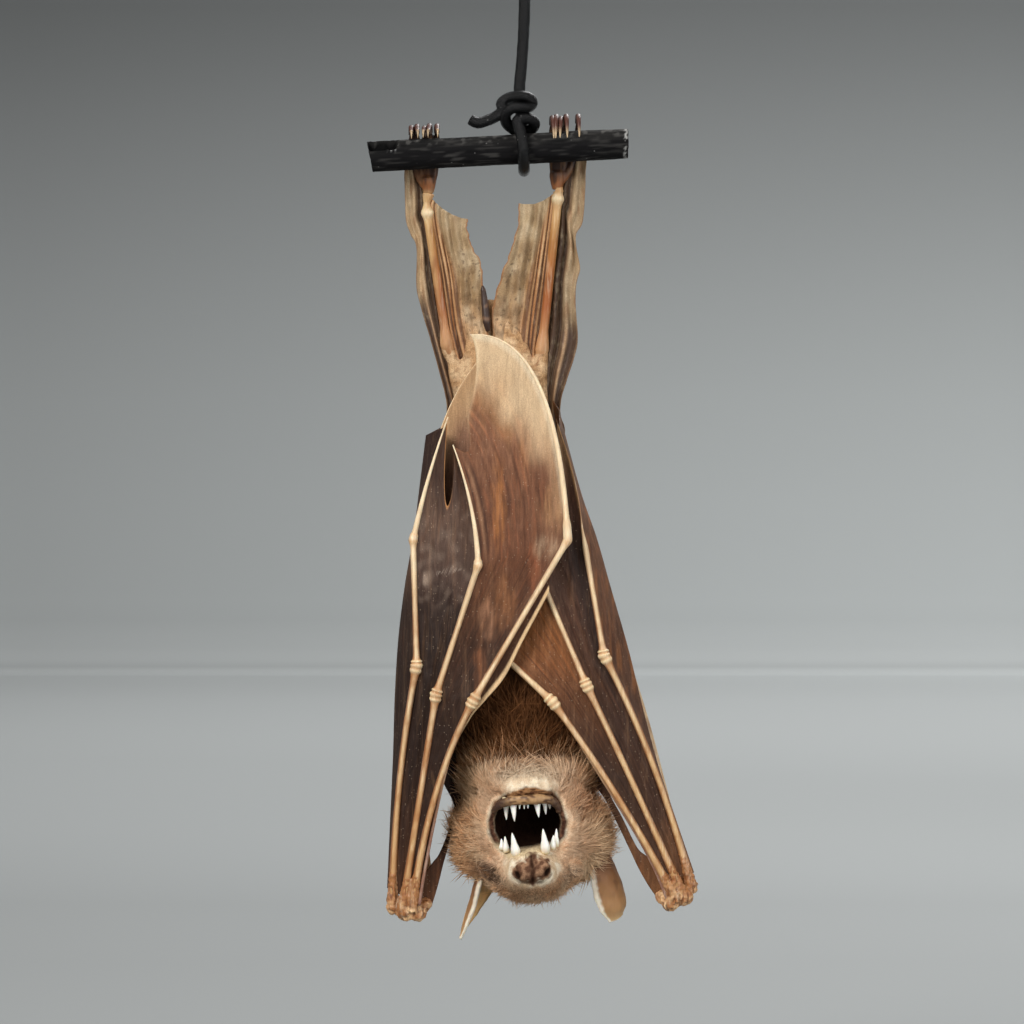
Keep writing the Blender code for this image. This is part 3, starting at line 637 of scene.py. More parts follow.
@dataclass
class Room:
    """The pale floor and wall, the soft lights and the camera."""

    eye: Point = (-1.8, -950.0, -128.4)
    view_width: float = 204.8
    floor_z: float = -262.0
    wall_y: float = 2975.0
    bend: float = 32.0
    sensor: float = 36.0
    front_y: float = -2500.0
    wall_height: float = 4000.0
    half_width: float = 6000.0
    glow: float = 0.42
    lights: tuple[Softbox, ...] = (
        Softbox("key", (-700.0, -1100.0, 620.0), 700.0, 19.0, (1.0, 0.98, 0.95)),
        Softbox("fill", (900.0, -900.0, 60.0), 900.0, 8.0, (0.95, 0.98, 1.0)),
        Softbox("low", (0.0, -900.0, -900.0), 600.0, 2.5),
        Softbox("back", (300.0, 700.0, 500.0), 500.0, 5.0),
        Softbox("wall", (0.0, 1200.0, 1500.0), 1600.0, 40.0, aim=(0.0, 2900.0, -150.0)),
    )
    # Painted light: grey levels up the wall and along the floor that stand in for the lamps' fall-off.
    wall_painted_light_stops: tuple[tuple[float, float], ...] = (
        (0.0, 0.325), (0.02, 0.372), (0.043, 0.368), (0.066, 0.372), (0.11, 0.385), (0.26, 0.36),
        (0.41, 0.325), (0.56, 0.276), (0.71, 0.223), (0.83, 0.181), (0.92, 0.149), (1.0, 0.124),
    )
    floor_painted_light_stops: tuple[tuple[float, float], ...] = (
        (0.0, 0.28), (0.06, 0.257), (0.14, 0.245), (0.28, 0.292), (0.5, 0.356), (0.8, 0.46), (1.0, 0.496),
    )

    def wall_finish(self) -> bpy.types.Material:
        """A plain grey with the fall of light painted in: darker up the wall and paler to the right and far
        along the floor.
        """
        made = bpy.data.materials.new("studio_grey")
        made.use_nodes = True
        pen = NodePen(made.node_tree)
        shader = made.node_tree.nodes["Principled BSDF"]
        place = pen.add("ShaderNodeTexCoord").outputs["Object"]
        parts = pen.add("ShaderNodeSeparateXYZ", {0: place})
        rise = pen.span(parts.outputs[2], -0.262, 0.29)
        depth = pen.span(parts.outputs[1], 0.3, 2.94)
        wall = pen.add("ShaderNodeValToRGB", {0: rise})
        floor = pen.add("ShaderNodeValToRGB", {0: depth})
        for ramp_node, stops in ((wall, self.wall_painted_light_stops), (floor, self.floor_painted_light_stops)):
            marks = ramp_node.color_ramp.elements
            while len(marks) < len(stops):
                marks.new(0.5)
            for mark, (position, grey) in zip(marks, stops):
                mark.position = position
                mark.color = (grey * 0.972, grey * 1.014, grey * 1.014, 1.0)
        standing = pen.span(parts.outputs[2], -0.262, -0.2555)
        color = pen.mix(standing, floor.outputs[0], wall.outputs[0])
        # Painted light: paler to the right.
        color = pen.mix(1.0, color, pen.span(parts.outputs[0], -0.4, 0.4, 0.8, 1.2), "MULTIPLY")
        made.node_tree.links.new(color, shader.inputs["Base Color"])
        shader.inputs["Roughness"].default_value = 0.9
        shader.inputs["Specular IOR Level"].default_value = 0.1
        return made

    def build_sweep(self) -> bpy.types.Object:
        """A floor that curves up into the back wall."""
        bm = bmesh.new()
        bmesh.ops.create_grid(bm, x_segments=1, y_segments=400, size=1.0)
        radius = self.bend
        flat = self.wall_y - radius - self.front_y
        bend = radius * math.pi / 2
        total = flat + bend + self.wall_height
        for vertex in bm.verts:
            run = (vertex.co.y / 2 + 0.5) * total
            if run <= flat:
                y, z = run + self.front_y, 0.0
            elif run <= flat + bend:
                turn = (run - flat) / radius
                y, z = self.wall_y - radius + radius * math.sin(turn), radius * (1 - math.cos(turn))
            else:
                y, z = self.wall_y, radius + run - flat - bend
            vertex.co = at((vertex.co.x * self.half_width, y, self.floor_z + z))
        sweep = object_of("sweep", bm)
        sweep.data.materials.append(self.wall_finish())
        return sweep

    def build(self) -> None:
        """Sets the stage, the lights and the camera."""
        self.build_sweep()
        for light in self.lights:
            light.build()
        world = bpy.data.worlds.new("studio")
        world.use_nodes = True
        sky = world.node_tree.nodes["Background"]
        sky.inputs["Color"].default_value = (1.0, 0.995, 0.985, 1.0)
        sky.inputs["Strength"].default_value = self.glow
        bpy.context.scene.world = world
        data = bpy.data.cameras.new("camera")
        data.sensor_width = self.sensor
        data.lens = self.sensor * -self.eye[1] / self.view_width
        data.clip_start = 0.01
        camera = bpy.data.objects.new("camera", data)
        camera.location = at(self.eye)
        camera.rotation_euler = (math.pi / 2, 0.0, 0.0)
        bpy.context.collection.objects.link(camera)
        bpy.context.scene.camera = camera
        bpy.context.scene.view_settings.view_transform = "Standard"


# ---------------------------------------------------------------- stick, cord and hook


@dataclass
class Perch:
    """The charred stick, with its broken left end."""

    left: Point = (-30.8, 0.0, -57.4)
    right: Point = (21.4, 0.0, -54.7)
    radius: float = 3.0
    rows: int = 190
    sides: int = 64

    def axis(self, x: float) -> Point:
        """The point of the stick's axis at x."""
        return blend(self.left, self.right, (x - self.left[0]) / (self.right[0] - self.left[0]))

    def surface(self, u: float, v: float) -> Point:
        """The bark: u goes round, v runs from the left end to the right."""
        turn = 2 * math.pi * u
        x, y, z = blend(self.left, self.right, v)
        side, rise = math.cos(turn), math.sin(turn)
        swell = 0.05 * math.sin(9 * v + 1.0) + 0.05 * ripple((x * 0.35, side * 4, rise * 4), 2.6, 3.0)
        grain = (
            0.10 * ripple((x * 0.16, side * 9, rise * 9), 1.2, 8.0) + 0.05
            * ripple((x * 0.5, side * 9, rise * 9), 0.6, 5.0)
        )
        radius = self.radius + swell + grain - 2.2 * self.hollow(side, rise, v)
        slant = 0.62 * (1 - rise) * ease(0.03, 0.0, v)
        slant -= 0.18 * ripple((0, side * 3, rise * 3), 1.1, 5.0) * ease(0.02, 0.0, v)
        bite = 0.22 * ripple((0, side * 3, rise * 3), 0.9, 9.0) * ease(0.985, 1.0, v)
        return (x + slant + bite, y - side * radius, z + rise * radius)

    def hollow(self, side: float, rise: float, v: float) -> float:
        """1 in the broken hollow that faces up and forwards at the left end, 0 elsewhere."""
        toward = 0.62 * side + 0.78 * rise
        return (
            ease(0.84, 0.92, toward + 0.05 * ripple((v * 60, side * 2, rise * 2), 1.6))
            * ease(0.13, 0.085, v) * ease(0.0, 0.012, v)
        )

    def shade(self, u: float, v: float, place: Point) -> Color:
        """Charcoal with pale scuffs and a worn right rim, painted paler on top, and with painted shade in the
        hollow and under the left claws.
        """
        rise = math.sin(2 * math.pi * u)
        face = math.cos(2 * math.pi * u)
        # Painted light: the bark is paler where it faces up towards the lamps.
        color = blend(tone(22, 21, 22), tone(40, 39, 38), ease(-0.2, 0.9, rise + 0.5 * ripple(place, 5.0)))
        fibre = ease(0.1, 0.5, ripple((place[0] * 0.25, face * 6, rise * 6), 0.9, 3.0))
        # The grain layer is the bark's own; the dark layer on top, under the left foot's claws, is a painted
        # shadow of the claws.
        color = painted(
            color,
            ((74, 72, 70), 0.55 * fibre),
            ((20, 20, 21), 0.8 * ease(0.4, 0.9, rise) * ease(0.27, 0.20, v) * ease(0.12, 0.17, v)),
        )
        scuff = (
            ease(0.18, 0.42, ripple(place, 0.55, 2.0))
            * ease(1.4, 0.4, math.dist((place[0], place[2]), (-25.8, -55.8)))
        )
        color = painted(color, ((182, 182, 180), 0.85 * scuff * (face > 0)))
        worn = (
            ease(0.10, 0.34, ripple(place, 1.1, 6.0)) * ease(0.3, 0.8, rise)
            * (1 - self.hollow(face, rise, v))
        )
        # The last layer is painted shade: near black in the broken hollow.
        color = painted(
            color,
            ((104, 102, 99), 0.6 * worn),
            ((2, 2, 2), ease(0.05, 0.4, self.hollow(face, rise, v))),
        )
        rim = ease(0.978, 0.99, v) * ease(1.0, 0.994, v) * ease(-0.1, 0.25, ripple(place, 0.7, 4.0))
        return blend(color, tone(205, 204, 200), 0.9 * rim * ease(-0.2, 0.3, face))

    def build(self) -> bpy.types.Object:
        """The stick as one piece in place of its solid."""
        bm = cloth_of(self.surface, self.sides, self.rows, self.shade, wrap=True, capped=True)
        caps = [face for face in bm.faces if len(face.verts) > 8]
        inner = bmesh.ops.inset_region(bm, faces=caps, thickness=0.35 * MM, use_even_offset=True)
        bmesh.ops.poke(bm, faces=caps)
        tint = bm.verts.layers.float_color["Tint"]
        for face in inner["faces"]:
            for vertex in face.verts:
                vertex[tint] = (*blend(vertex[tint][:3], tone(34, 33, 33), 0.4), 1.0)
        return finish_mesh("stick", bm, CHARRED_WOOD, "perch_stick")


@dataclass
class Cord:
    """The waxed cord: its tail, the knot, the loop round the stick, the run and the top loop."""

    radius: float = 1.15
    tail: tuple[Point, ...] = ((-10.2, -2.0, -50.0), (-8.6, -2.0, -50.7), (-6.6, -1.9, -50.2),
                               (-4.8, -1.6, -49.3))
    hitch: tuple[Point, ...] = (
        (-3.6, -1.4, -48.1), (-3.9, -1.2, -46.9), (-2.9, -1.2, -45.9), (-1.3, -1.6, -45.5),
        (0.4, -1.9, -45.4), (1.8, -1.4, -45.9), (2.2, -0.8, -46.9), (1.2, -2.0, -47.7), (-0.4, -2.8, -47.7),
        (-2.0, -2.8, -48.0), (-3.1, -2.0, -49.2), (-2.8, -0.8, -50.8), (-1.4, 0.6, -51.9),
        (0.4, 1.5, -52.2), (2.0, 0.9, -51.9), (2.7, -0.4, -50.9), (1.9, -1.7, -50.0), (0.2, -2.5, -49.9),
        (-0.8, -3.2, -50.6), (-0.3, -3.4, -52.0),
    )
    round_stick: tuple[Point, ...] = (
        (0.3, -4.2, -54.8), (0.5, -4.1, -57.0), (0.6, -2.4, -59.5), (0.6, 0.2, -60.2), (0.6, 2.8, -59.3),
        (0.6, 4.2, -57.0), (0.6, 4.0, -54.4), (0.5, 2.6, -52.4), (0.2, 0.9, -50.6),
    )
    run: tuple[Point, ...] = (
        (0.0, 0.1, -48.4), (0.1, 0.0, -46.0), (-0.3, 0.0, -43.8), (0.1, 0.0, -39.0), (0.5, 0.0, -33.0),
        (0.7, 0.0, -27.0), (0.6, 0.0, -22.4),
    )
    top: tuple[Point, ...] = (
        (0.4, -0.9, -19.8), (0.1, -2.6, -17.4), (0.0, -3.3, -15.0), (0.0, -2.4, -12.9), (0.0, 0.0, -11.9),
        (0.0, 2.4, -12.9), (0.0, 3.3, -15.0), (0.0, 2.4, -17.6), (0.6, 1.7, -19.5), (2.2, 0.3, -20.2),
        (1.3, -2.0, -20.8), (-1.2, -2.0, -21.2), (-1.8, 0.4, -21.0), (-0.4, 2.2, -21.4), (1.4, 2.6, -22.8),
    )

    def route(self) -> list[Point]:
        """The centreline from the tail's cut end to the end at the hook."""
        points = self.tail + self.hitch + self.round_stick + self.run + self.top
        return even(points, 420)

    def build(self, hook: bpy.types.Object) -> bpy.types.Object:
        """The cord as one mesh tube in place of its four solids."""
        path = self.route()
        length = length_of(path)
        radii = [self.radius * (1 + 0.06 * ripple(point, 1.3, 1.0)) for point in path]
        radii[0] = radii[-1] = self.radius * 0.86
        bm = tube_of(path, radii, sides=16)
        layer = bm.loops.layers.uv.active
        for face in bm.faces:
            for loop in face.loops:
                loop[layer].uv = (loop[layer].uv.x, loop[layer].uv.y * length / 7.0)
        cord = finish_mesh("cord", bm, CORD_GLOSS, "cord_run", "cord_knot", "cord_tail", "cord_top_loop")
        tuple(at((0.2, -1.0, -52.4)))
        [tuple(at(point)) for point in path]
        return cord


@dataclass
class Hook:
    """The screw hook that holds the cord's loop: a round plate and a bent wire."""

    plate_radius: float = 6.0
    plate_height: float = 1.4
    wire: float = 1.1
    bend: tuple[Point, ...] = (
        (0.0, 0.0, -1.0), (0.0, 0.0, -4.0), (0.5, 0.0, -6.2), (2.5, 0.0, -8.3), (3.4, 0.0, -11.0),
        (2.4, 0.0, -13.4), (0.0, 0.0, -14.4), (-2.4, 0.0, -13.4), (-3.3, 0.0, -11.2),
    )

    def build(self) -> bpy.types.Object:
        """The hook as one piece in place of its solid."""
        plate = bmesh.new()
        bmesh.ops.create_cone(
            plate, cap_ends=True, segments=64, radius1=(self.plate_radius - 0.8) * MM,
            radius2=self.plate_radius * MM, depth=self.plate_height * MM,
            matrix=Matrix.Translation(at((0.0, 0.0, -self.plate_height / 2))),
        )
        rims = [edge for edge in plate.edges if edge.calc_face_angle(0.0) > 0.6]
        bmesh.ops.bevel(
            plate, geom=rims, offset=0.25 * MM, segments=3, affect="EDGES", profile=0.5, material=-1
        )
        path = even(self.bend, 70)
        radii = [self.wire] * 70
        radii[-1] = 0.35 * self.wire
        radii[-2] = 0.8 * self.wire
        collar = tube_of(
            [(0, 0, -1.3), (0, 0, -1.7), (0, 0, -2.2), (0, 0, -2.5)], [2.1, 2.0, 1.6, 1.15], sides=24
        )
        bm = join([plate, collar, tube_of(path, radii, sides=20)])
        hook = finish_mesh("hook", bm, STEEL, "ceiling_hook")
        hook.data.set_sharp_from_angle(angle=math.radians(50))
        return hook


# ---------------------------------------------------------------- wings


@dataclass(frozen=True)
class Digit:
    """One long finger, from the wrist to its tip, with the two points that its end bones bow to."""

    wrist: Point
    palm_bow: Point
    knuckle: Point
    joint: Point
    tip_bow: Point
    tip: Point
    warm: float = 0.3
    tip_size: float = 1.0
    tip_tone: Color | None = None

    def at(self, v: float) -> Point:
        """The middle line, with v a third at the knuckle and two thirds at the joint."""
        if v <= 1 / 3:
            return bow(self.wrist, self.palm_bow, self.knuckle, max(v, 0.0) * 3)
        if v <= 2 / 3:
            return blend(self.knuckle, self.joint, v * 3 - 1)
        return bow(self.joint, self.tip_bow, self.tip, min(v, 1.0) * 3 - 2)

    def radius(self, v: float) -> float:
        """Half the bone's width at v, with its two ringed joints."""
        stops = (0.0, 0.06, 0.14, 0.28, 0.36, 0.5, 0.63, 0.70, 0.80, 0.90, 1.0)
        widths = (0.9, 0.76, 0.64, 0.66, 0.66, 0.55, 0.6, 0.54, 0.38, 0.24, 0.12)
        base = float(np.interp(v, stops, widths))
        for ridge in (-0.0078, 0.0, 0.0098):
            base += 0.26 * bell(v, 1 / 3 + ridge, 0.0032)
        base += 0.36 * bell(v, 1 / 3, 0.016)
        slim = 1 - (1 - self.tip_size) * ease(0.6, 0.675, v)
        base += 0.34 * slim * bell(v, 2 / 3, 0.013)
        base += 0.12 * slim * bell(v, 2 / 3 + 0.012, 0.004)
        return base * slim

    def shade(self, u: float, v: float, place: Point) -> Color:
        """Cream bone with painted shade darkening its sides, orange at the joints and brown by the wrist."""
        color = blend(tone(222, 184, 132), tone(238, 210, 166), ease(0.10, 0.38, v))
        color = painted(
            color,
            ((248, 226, 188), ease(0.4, 0.9, v)),
            ((190, 128, 70), self.warm * ease(0.62, 0.2, v) * ease(-0.5, 0.4,
                ripple((v * 14, 0.0, 0.0), 1.0, self.warm * 9))),
        )
        # Painted shade: the bone turns browner towards its sides as seen from the front, as a round,
        # translucent bone looks under the lamps.
        away = abs(place[0] - self.at(v)[0]) / max(self.radius(v), 0.05)
        side_shade_start = 0.34 + 0.24 * ripple((v * 26.0, self.warm * 30.0, 0.0), 1.0)
        color = painted(color, ((130, 76, 40), 0.85 * ease(side_shade_start, side_shade_start + 0.45, away) * ease(0.75, 0.4, v)))
        knuckle = bell(v, 1 / 3, 0.02)
        color = painted(color, ((190, 122, 64), 0.85 * knuckle))
        for ridge in (-0.0078, 0.0, 0.0098):
            color = painted(color, ((252, 228, 182), 0.95 * bell(v, 1 / 3 + ridge, 0.0032)))
        color = painted(
            color,
            ((214, 158, 100), 0.5 * bell(v, 2 / 3, 0.02)),
            ((250, 232, 196), 0.7 * bell(v, 2 / 3 + 0.006, 0.006)),
        )
        blotch = ease(0.05, 0.55, ripple(place, 2.6, 5.0))
        color = painted(
            color,
            ((168, 110, 62), 0.5 * blotch * ease(0.75, 0.2, v)),
            ((186, 130, 78), 0.5 * ease(0.10, 0.0, v)),
        )
        if self.tip_tone:
            color = blend(color, self.tip_tone, 0.92 * ease(0.655, 0.70, v))
        return color

    def bone(self) -> bmesh.types.BMesh:
        """The finger's bones with their skin, as one closed bar."""
        marks = sorted(
            {i / 150 for i in range(151)} | {m + k * 0.0014 for m in (1 / 3, 2 / 3) for k in range(-18, 19)}
        )
        path = [self.at(v) for v in marks]
        last = len(marks) - 1

        def shade(u: float, v: float, place: Point) -> Color:
            """The colour at a share v of the bar's points."""
            return self.shade(u, marks[round(v * last)], place)

        return tube_of(path, [self.radius(v) for v in marks], sides=14, shade=shade)


@dataclass(frozen=True)
class Web:
    """Skin stretched between two edges, from its start to its hem."""

    name: str
    node: str
    edge_a: Callable[[float], Point]
    edge_b: Callable[[float], Point]
    shade: Shade
    start: float = 0.0
    hem: Callable[[float], float] = lambda u: 1.0
    sag: float = 0.8
    pleats: int = 0
    pleat_gather: float = 1.0
    pleat_depth: float = 0.0
    crumple: float = 0.14
    columns: int = 40
    rows: int = 130
    seed: float = 0.0
    droop: float = 0.0
    ragged: float = 0.0

    def surface(self, u: float, v: float) -> Point:
        """The skin: it sags back between its edges, and its pleats run along it."""
        place = self.start + (self.hem(u) - self.start) * v
        a, b = self.edge_a(place), self.edge_b(place)
        x, y, z = blend(a, b, u + self.ragged * ripple((v * 16.0, self.seed, 0.0), 1.0) * ease(0.8, 1.0, u))
        z -= self.droop * math.sin(math.pi * u ** 0.85) * max(0.0, 1 - 4 * v) ** 2
        width = math.dist(a, b)
        middle = 4 * u * (1 - u)
        slack = min(width / 8.0, 1.0)
        y += self.sag * slack * middle ** 0.7
        if self.pleats:
            phase = self.pleats * (max(u, 0.0) ** self.pleat_gather + 0.06 * math.sin(3.1 * v + self.seed))
            y += self.pleat_depth * slack * math.sin(2 * math.pi * phase) * middle ** 0.5
        y += self.crumple * slack * middle * ripple((x * 1.6, 0.0, z * 0.32), 1.5, self.seed)
        y += 0.6 * self.crumple * middle * ripple((x, 0.0, z * 0.5), 0.8, self.seed + 4)
        return (x, y, z)

    def build(self, side: Side, finish: Finish, thickness: float) -> None:
        """The skin as a thin sheet, in place of its solid on one side."""
        cloth = cloth_of(self.surface, self.columns, self.rows, self.shade)
        thicken(finish_mesh(f"{self.name}_{side}", cloth, finish, f"{self.node}_{side}"), thickness)


@dataclass(frozen=True)
class Wing:
    """One folded wing: its hand, its arm and the edges of its skin."""

    side: Side
    index: tuple[Point, ...]
    third: Digit
    fourth: Digit
    fifth: Digit
    wrist_knobs: tuple[tuple[float, float, float, float], ...]
    forearm: tuple[Point, ...]
    shoulder: Point
    fold: tuple[Point, ...]
    rear: tuple[Point, ...]
    strap_outer: tuple[Point, ...]
    strap_inner: tuple[Point, ...]
    thumb: tuple[Point, ...]
    tip_shade: Shade
    middle_shade: Shade
    outer_shade: Shade
    tip_hem: Callable[[float], float]
    lead: tuple[Point, ...] = ()

    def webs(self) -> list[Web]:
        """The wing's skins, from the tip round to the shoulder."""
        arm = (self.forearm[-1], blend(self.forearm[-1], self.shoulder, 0.5), self.shoulder)

        def wrapped(u: float, v: float) -> Point:
            """The skin that goes from the fifth finger round the outer fold to the flank."""
            front, turn, back = self.fifth.at(0.02 + 0.95 * v), along(self.fold, v), along(self.rear, v)
            return bow(front, blend(blend(front, back, 0.5), turn, 1.9), back, u)

        return [
            Web("tip_skin", "tip_web", self.fourth.at, self.third.at, self.tip_shade, start=0.02,
                hem=self.tip_hem, sag=0.55, crumple=0.22, columns=64, rows=210, seed=1.0),
            Web("middle_skin", "middle_web", self.fifth.at, self.fourth.at, self.middle_shade, start=0.02,
                hem=hem_of_middle, sag=1.0, pleats=2, pleat_depth=0.25, crumple=0.2, columns=44, rows=190,
                seed=2.0),
            Web("outer_skin", "side_web", lambda v: wrapped(0.0, v), lambda v: wrapped(0.5, v),
                self.outer_shade,
                sag=0.0, crumple=0.2, columns=26, rows=150, seed=3.0),
            Web("rear_skin", "flank_web", lambda v: wrapped(0.5, v), lambda v: wrapped(1.0, v),
                self.outer_shade,
                sag=0.0, crumple=0.25, columns=26, rows=110, seed=5.0),
            Web("arm_skin", "arm_web", lambda v: along(self.forearm[::-1], v), lambda v: along(arm, v),
                self.outer_shade,
                hem=lambda u: 0.98 - 0.3 * math.sin(math.pi * u), sag=0.3, columns=20, rows=60, seed=7.0),
            Web("strap", "shoulder_web", lambda v: along(self.strap_outer, v),
                lambda v: along(self.strap_inner, v),
                self.outer_shade, sag=0.15, crumple=0.1, columns=8, rows=60, seed=8.0),
        ]

    def build(self) -> None:
        """The wing's bones, wrist, arm and skins, in place of their solids."""
        for number, digit in ((3, self.third), (4, self.fourth), (5, self.fifth)):
            finish_mesh(f"finger_{number}_{self.side}", digit.bone(), BONE, f"digit_{number}_{self.side}")
        self.build_index()
        self.build_wrist()
        self.build_arm()
        for web in self.webs():
            web.build(self.side, WING_SKIN, 0.2)
        if self.lead:
            self.build_lead()

    def build_lead(self) -> None:
        """The narrow skin in front of the third finger, with its pale rim and painted shade in the groove
        beside it.
        """
        rim = even(self.lead, 160)

        def surface(u: float, v: float) -> Point:
            """The skin from the third finger out to its rim."""
            x, y, z = blend(self.third.at(0.02 + 0.585 * v), along(rim, v), u)
            return (x, y + 0.5 * math.sin(math.pi * u) - 0.25 * ease(0.7, 1.0, u), z)

        def shade(u: float, v: float, place: Point) -> Color:
            """Painted shade, dark, in the groove, and cream along the rim beyond the knuckle."""
            # The groove's dark brown is painted shade.
            color = weathered(tone(72, 44, 28), (u * 5.0, 0.0, place[2]), 12.0, 0.8)
            return blend(color, tone(236, 200, 152), ease(0.68, 0.82, u) * (0.25 + 0.75 * ease(0.5, 0.6, v)))

        thicken(finish_mesh(f"lead_skin_{self.side}", cloth_of(surface, 12, 180, shade), WING_SKIN), 0.34)

    def build_index(self) -> None:
        """The slim second finger beside the third."""
        path = even(self.index, 70)
        radii = [0.34 + 0.12 * ease(0.12, 0.0, i / 69) - 0.14 * ease(0.8, 1.0, i / 69) for i in range(70)]

        def shade(u: float, v: float, place: Point) -> Color:
            """Mauve-brown, paler towards its tip."""
            return blend(tone(150, 112, 96), tone(206, 172, 134), ease(0.3, 0.9, v))

        finish_mesh(f"finger_2_{self.side}", tube_of(path, radii, 10, shade), BONE, f"digit_2_{self.side}")

    def build_wrist(self) -> None:
        """The wrist's bundle of small bones under its skin, and the folded thumb."""
        parts = []
        for x, y, z, radius in self.wrist_knobs:
            ball = bmesh.new()
            bmesh.ops.create_uvsphere(ball, u_segments=24, v_segments=16, radius=radius * MM)
            bmesh.ops.translate(ball, vec=at((x, y, z)), verts=ball.verts)
            parts.append(ball)
        for digit in (self.third, self.fourth, self.fifth):
            path = [digit.at(v) for v in np.linspace(0.0, 0.05, 6)]
            parts.append(tube_of(path, [1.3, 1.25, 1.15, 1.0, 0.9, 0.8], 12))

        def shade(place: Point) -> Color:
            """Cream on the knobs, orange-brown between them, with painted shade in the wrinkles' creases."""
            x, y, z = place
            low = ease(self.wrist_knobs[1][2] + 4.0, self.wrist_knobs[1][2] - 0.5, z)
            color = blend(
                tone(168, 114, 68), tone(236, 194, 144), low * ease(-0.4, 0.4, ripple(place, 1.5, 2.0))
            )
            # Painted shade: dark lines follow the same noise as the dents that wrinkle presses in.
            lines = ease(0.0, 0.35, ripple((x * 2.2, y * 2.2, z * 0.45), 1.25, 7.0))
            color = painted(color, ((96, 56, 34), 0.75 * lines))
            pits = ease(0.1, 0.45, ripple((x * 1.2, y * 1.2, z * 1.6), 0.9, 3.0))
            return blend(color, tone(132, 80, 46), 0.6 * pits)

        def wrinkle(bm: bmesh.types.BMesh) -> None:
            """Pulls the skin in between the bones and crumples it."""
            bm.normal_update()
            for vertex in bm.verts:
                x, y, z = vertex.co / MM
                dent = 0.30 * ease(0.0, 0.4, ripple((x * 2.2, y * 2.2, z * 0.45), 1.25, 7.0))
                dent += 0.22 * ripple((x, y, z * 1.3), 0.8, 3.0)
                vertex.co -= vertex.normal * (dent * MM)

        wrist = fuse(f"wrist_skin_{self.side}", parts, 0.2, 2, shade, BONE, sculpt=wrinkle)
        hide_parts(f"wrist_{self.side}")
        path = even(self.thumb, 60)
        radii = taper(60, (0, 0.3, 0.55, 0.62, 0.7, 0.8, 1.0), (1.0, 0.8, 0.72, 0.85, 0.7, 0.6, 0.1))

        def thumb_shade(u: float, v: float, place: Point) -> Color:
            """Tan skin, then a dark claw."""
            return blend(tone(176, 132, 90), tone(58, 38, 30), ease(0.66, 0.74, v))

        finish_mesh(
            f"thumb_bone_{self.side}", tube_of(path, radii, 12, thumb_shade), BONE, f"thumb_{self.side}"
        )

    def build_arm(self) -> None:
        """The forearm along the wing's outer edge."""
        path = even(self.forearm, 90)
        radii = taper(
            90, (0, 0.08, 0.3, 0.7, 0.92, 0.975, 0.99, 1.0), (1.35, 1.05, 0.95, 1.05, 1.35, 1.3, 0.95, 0.4)
        )

        def shade(u: float, v: float, place: Point) -> Color:
            """Pale bone under skin, browner towards the elbow."""
            color = blend(tone(214, 184, 146), tone(150, 112, 78), ease(0.45, 0.95, v))
            return blend(color, tone(120, 84, 56), 0.5 * ease(0.0, 0.5, ripple(place, 3.0, 6.0)))

        finish_mesh(
            f"forearm_bone_{self.side}", tube_of(path, radii, 14, shade), BONE, f"forearm_{self.side}"
        )


def fuse(
    name: str,
    parts: Iterable[bmesh.types.BMesh],
    voxel: float,
    rounds: int,
    shade: Callable[[Point], Color],
    finish: Finish,
    hollow: bmesh.types.BMesh | None = None,
    sculpt: Callable[[bmesh.types.BMesh], None] | None = None,
) -> bpy.types.Object:
    """Melts several closed shapes into one skin.

    Args:
        name: The piece's name.
        parts: The shapes, which are freed.
        voxel: The size of the faces, in millimetres.
        rounds: How often the result is smoothed.
        shade: The colour of each point.
        finish: Its finish.
        hollow: A shape to be cut out of the others, if any; freed.
        sculpt: Moves the finished skin's points, if given.

    Returns:
        The piece, with its colours in Tint.
    """
    piece = finish_mesh(name, join(parts), finish)
    cutter = object_of("cutter", hollow) if hollow else None
    for turn in range(2 if cutter else 1):
        if turn:
            cut = piece.modifiers.new("cut", "BOOLEAN")
            cut.operation = "DIFFERENCE"
            cut.object = cutter
        melt = piece.modifiers.new("melt", "REMESH")
        melt.mode = "VOXEL"
        melt.voxel_size = voxel * MM
    graph = bpy.context.evaluated_depsgraph_get()
    mesh = bpy.data.meshes.new_from_object(piece.evaluated_get(graph), depsgraph=graph)
    piece.modifiers.clear()
    piece.data = mesh
    if cutter:
        bpy.data.objects.remove(cutter)
    bm = bmesh.new()
    bm.from_mesh(mesh)
    for _ in range(rounds):
        relax(bm, bm.verts)
    if sculpt:
        sculpt(bm)
    stale = bm.verts.layers.float_color.get("Tint")
    if stale:
        bm.verts.layers.float_color.remove(stale)
    tint = bm.verts.layers.float_color.new("Tint")
    for vertex in bm.verts:
        vertex[tint] = (*shade(tuple(vertex.co / MM)), 1.0)
    bm.to_mesh(mesh)
    bm.free()
    mesh.shade_smooth()
    finish.dress(piece)
    return piece


def hem_of_middle(u: float) -> float:
    """The free edge between the fourth and fifth finger: a deep, narrow slot."""
    return 0.985 - 0.195 * bell(u, 0.46, 0.17)


def hem_of_left_tip(u: float) -> float:
    """The left wing's edge from the fourth fingertip up to the third."""
    return 1.0 - 0.034 * math.sin(math.pi * u) ** 0.8 - 0.052 * bell(u, 0.16, 0.11)


def hem_of_right_tip(u: float) -> float:
    """The right wing's edge from the fourth fingertip up to the third."""
    return 1.0 - 0.075 * math.sin(math.pi * u)


# Each row: squeeze in x and z, lump size, seed shift, noise that starts and fills it, tint, share.
STREAKS = (
    (1.9, 0.16, 1.5, 0, 0.05, 0.5, (0.42, 0.34, 0.3), 0.6),
    (2.6, 0.22, 0.7, 5, 0.05, 0.45, (0.5, 0.42, 0.38), 0.4),
    (2.2, 0.16, 1.0, 9, 0.15, 0.5, (1.9, 1.6, 1.4), 0.4),
)


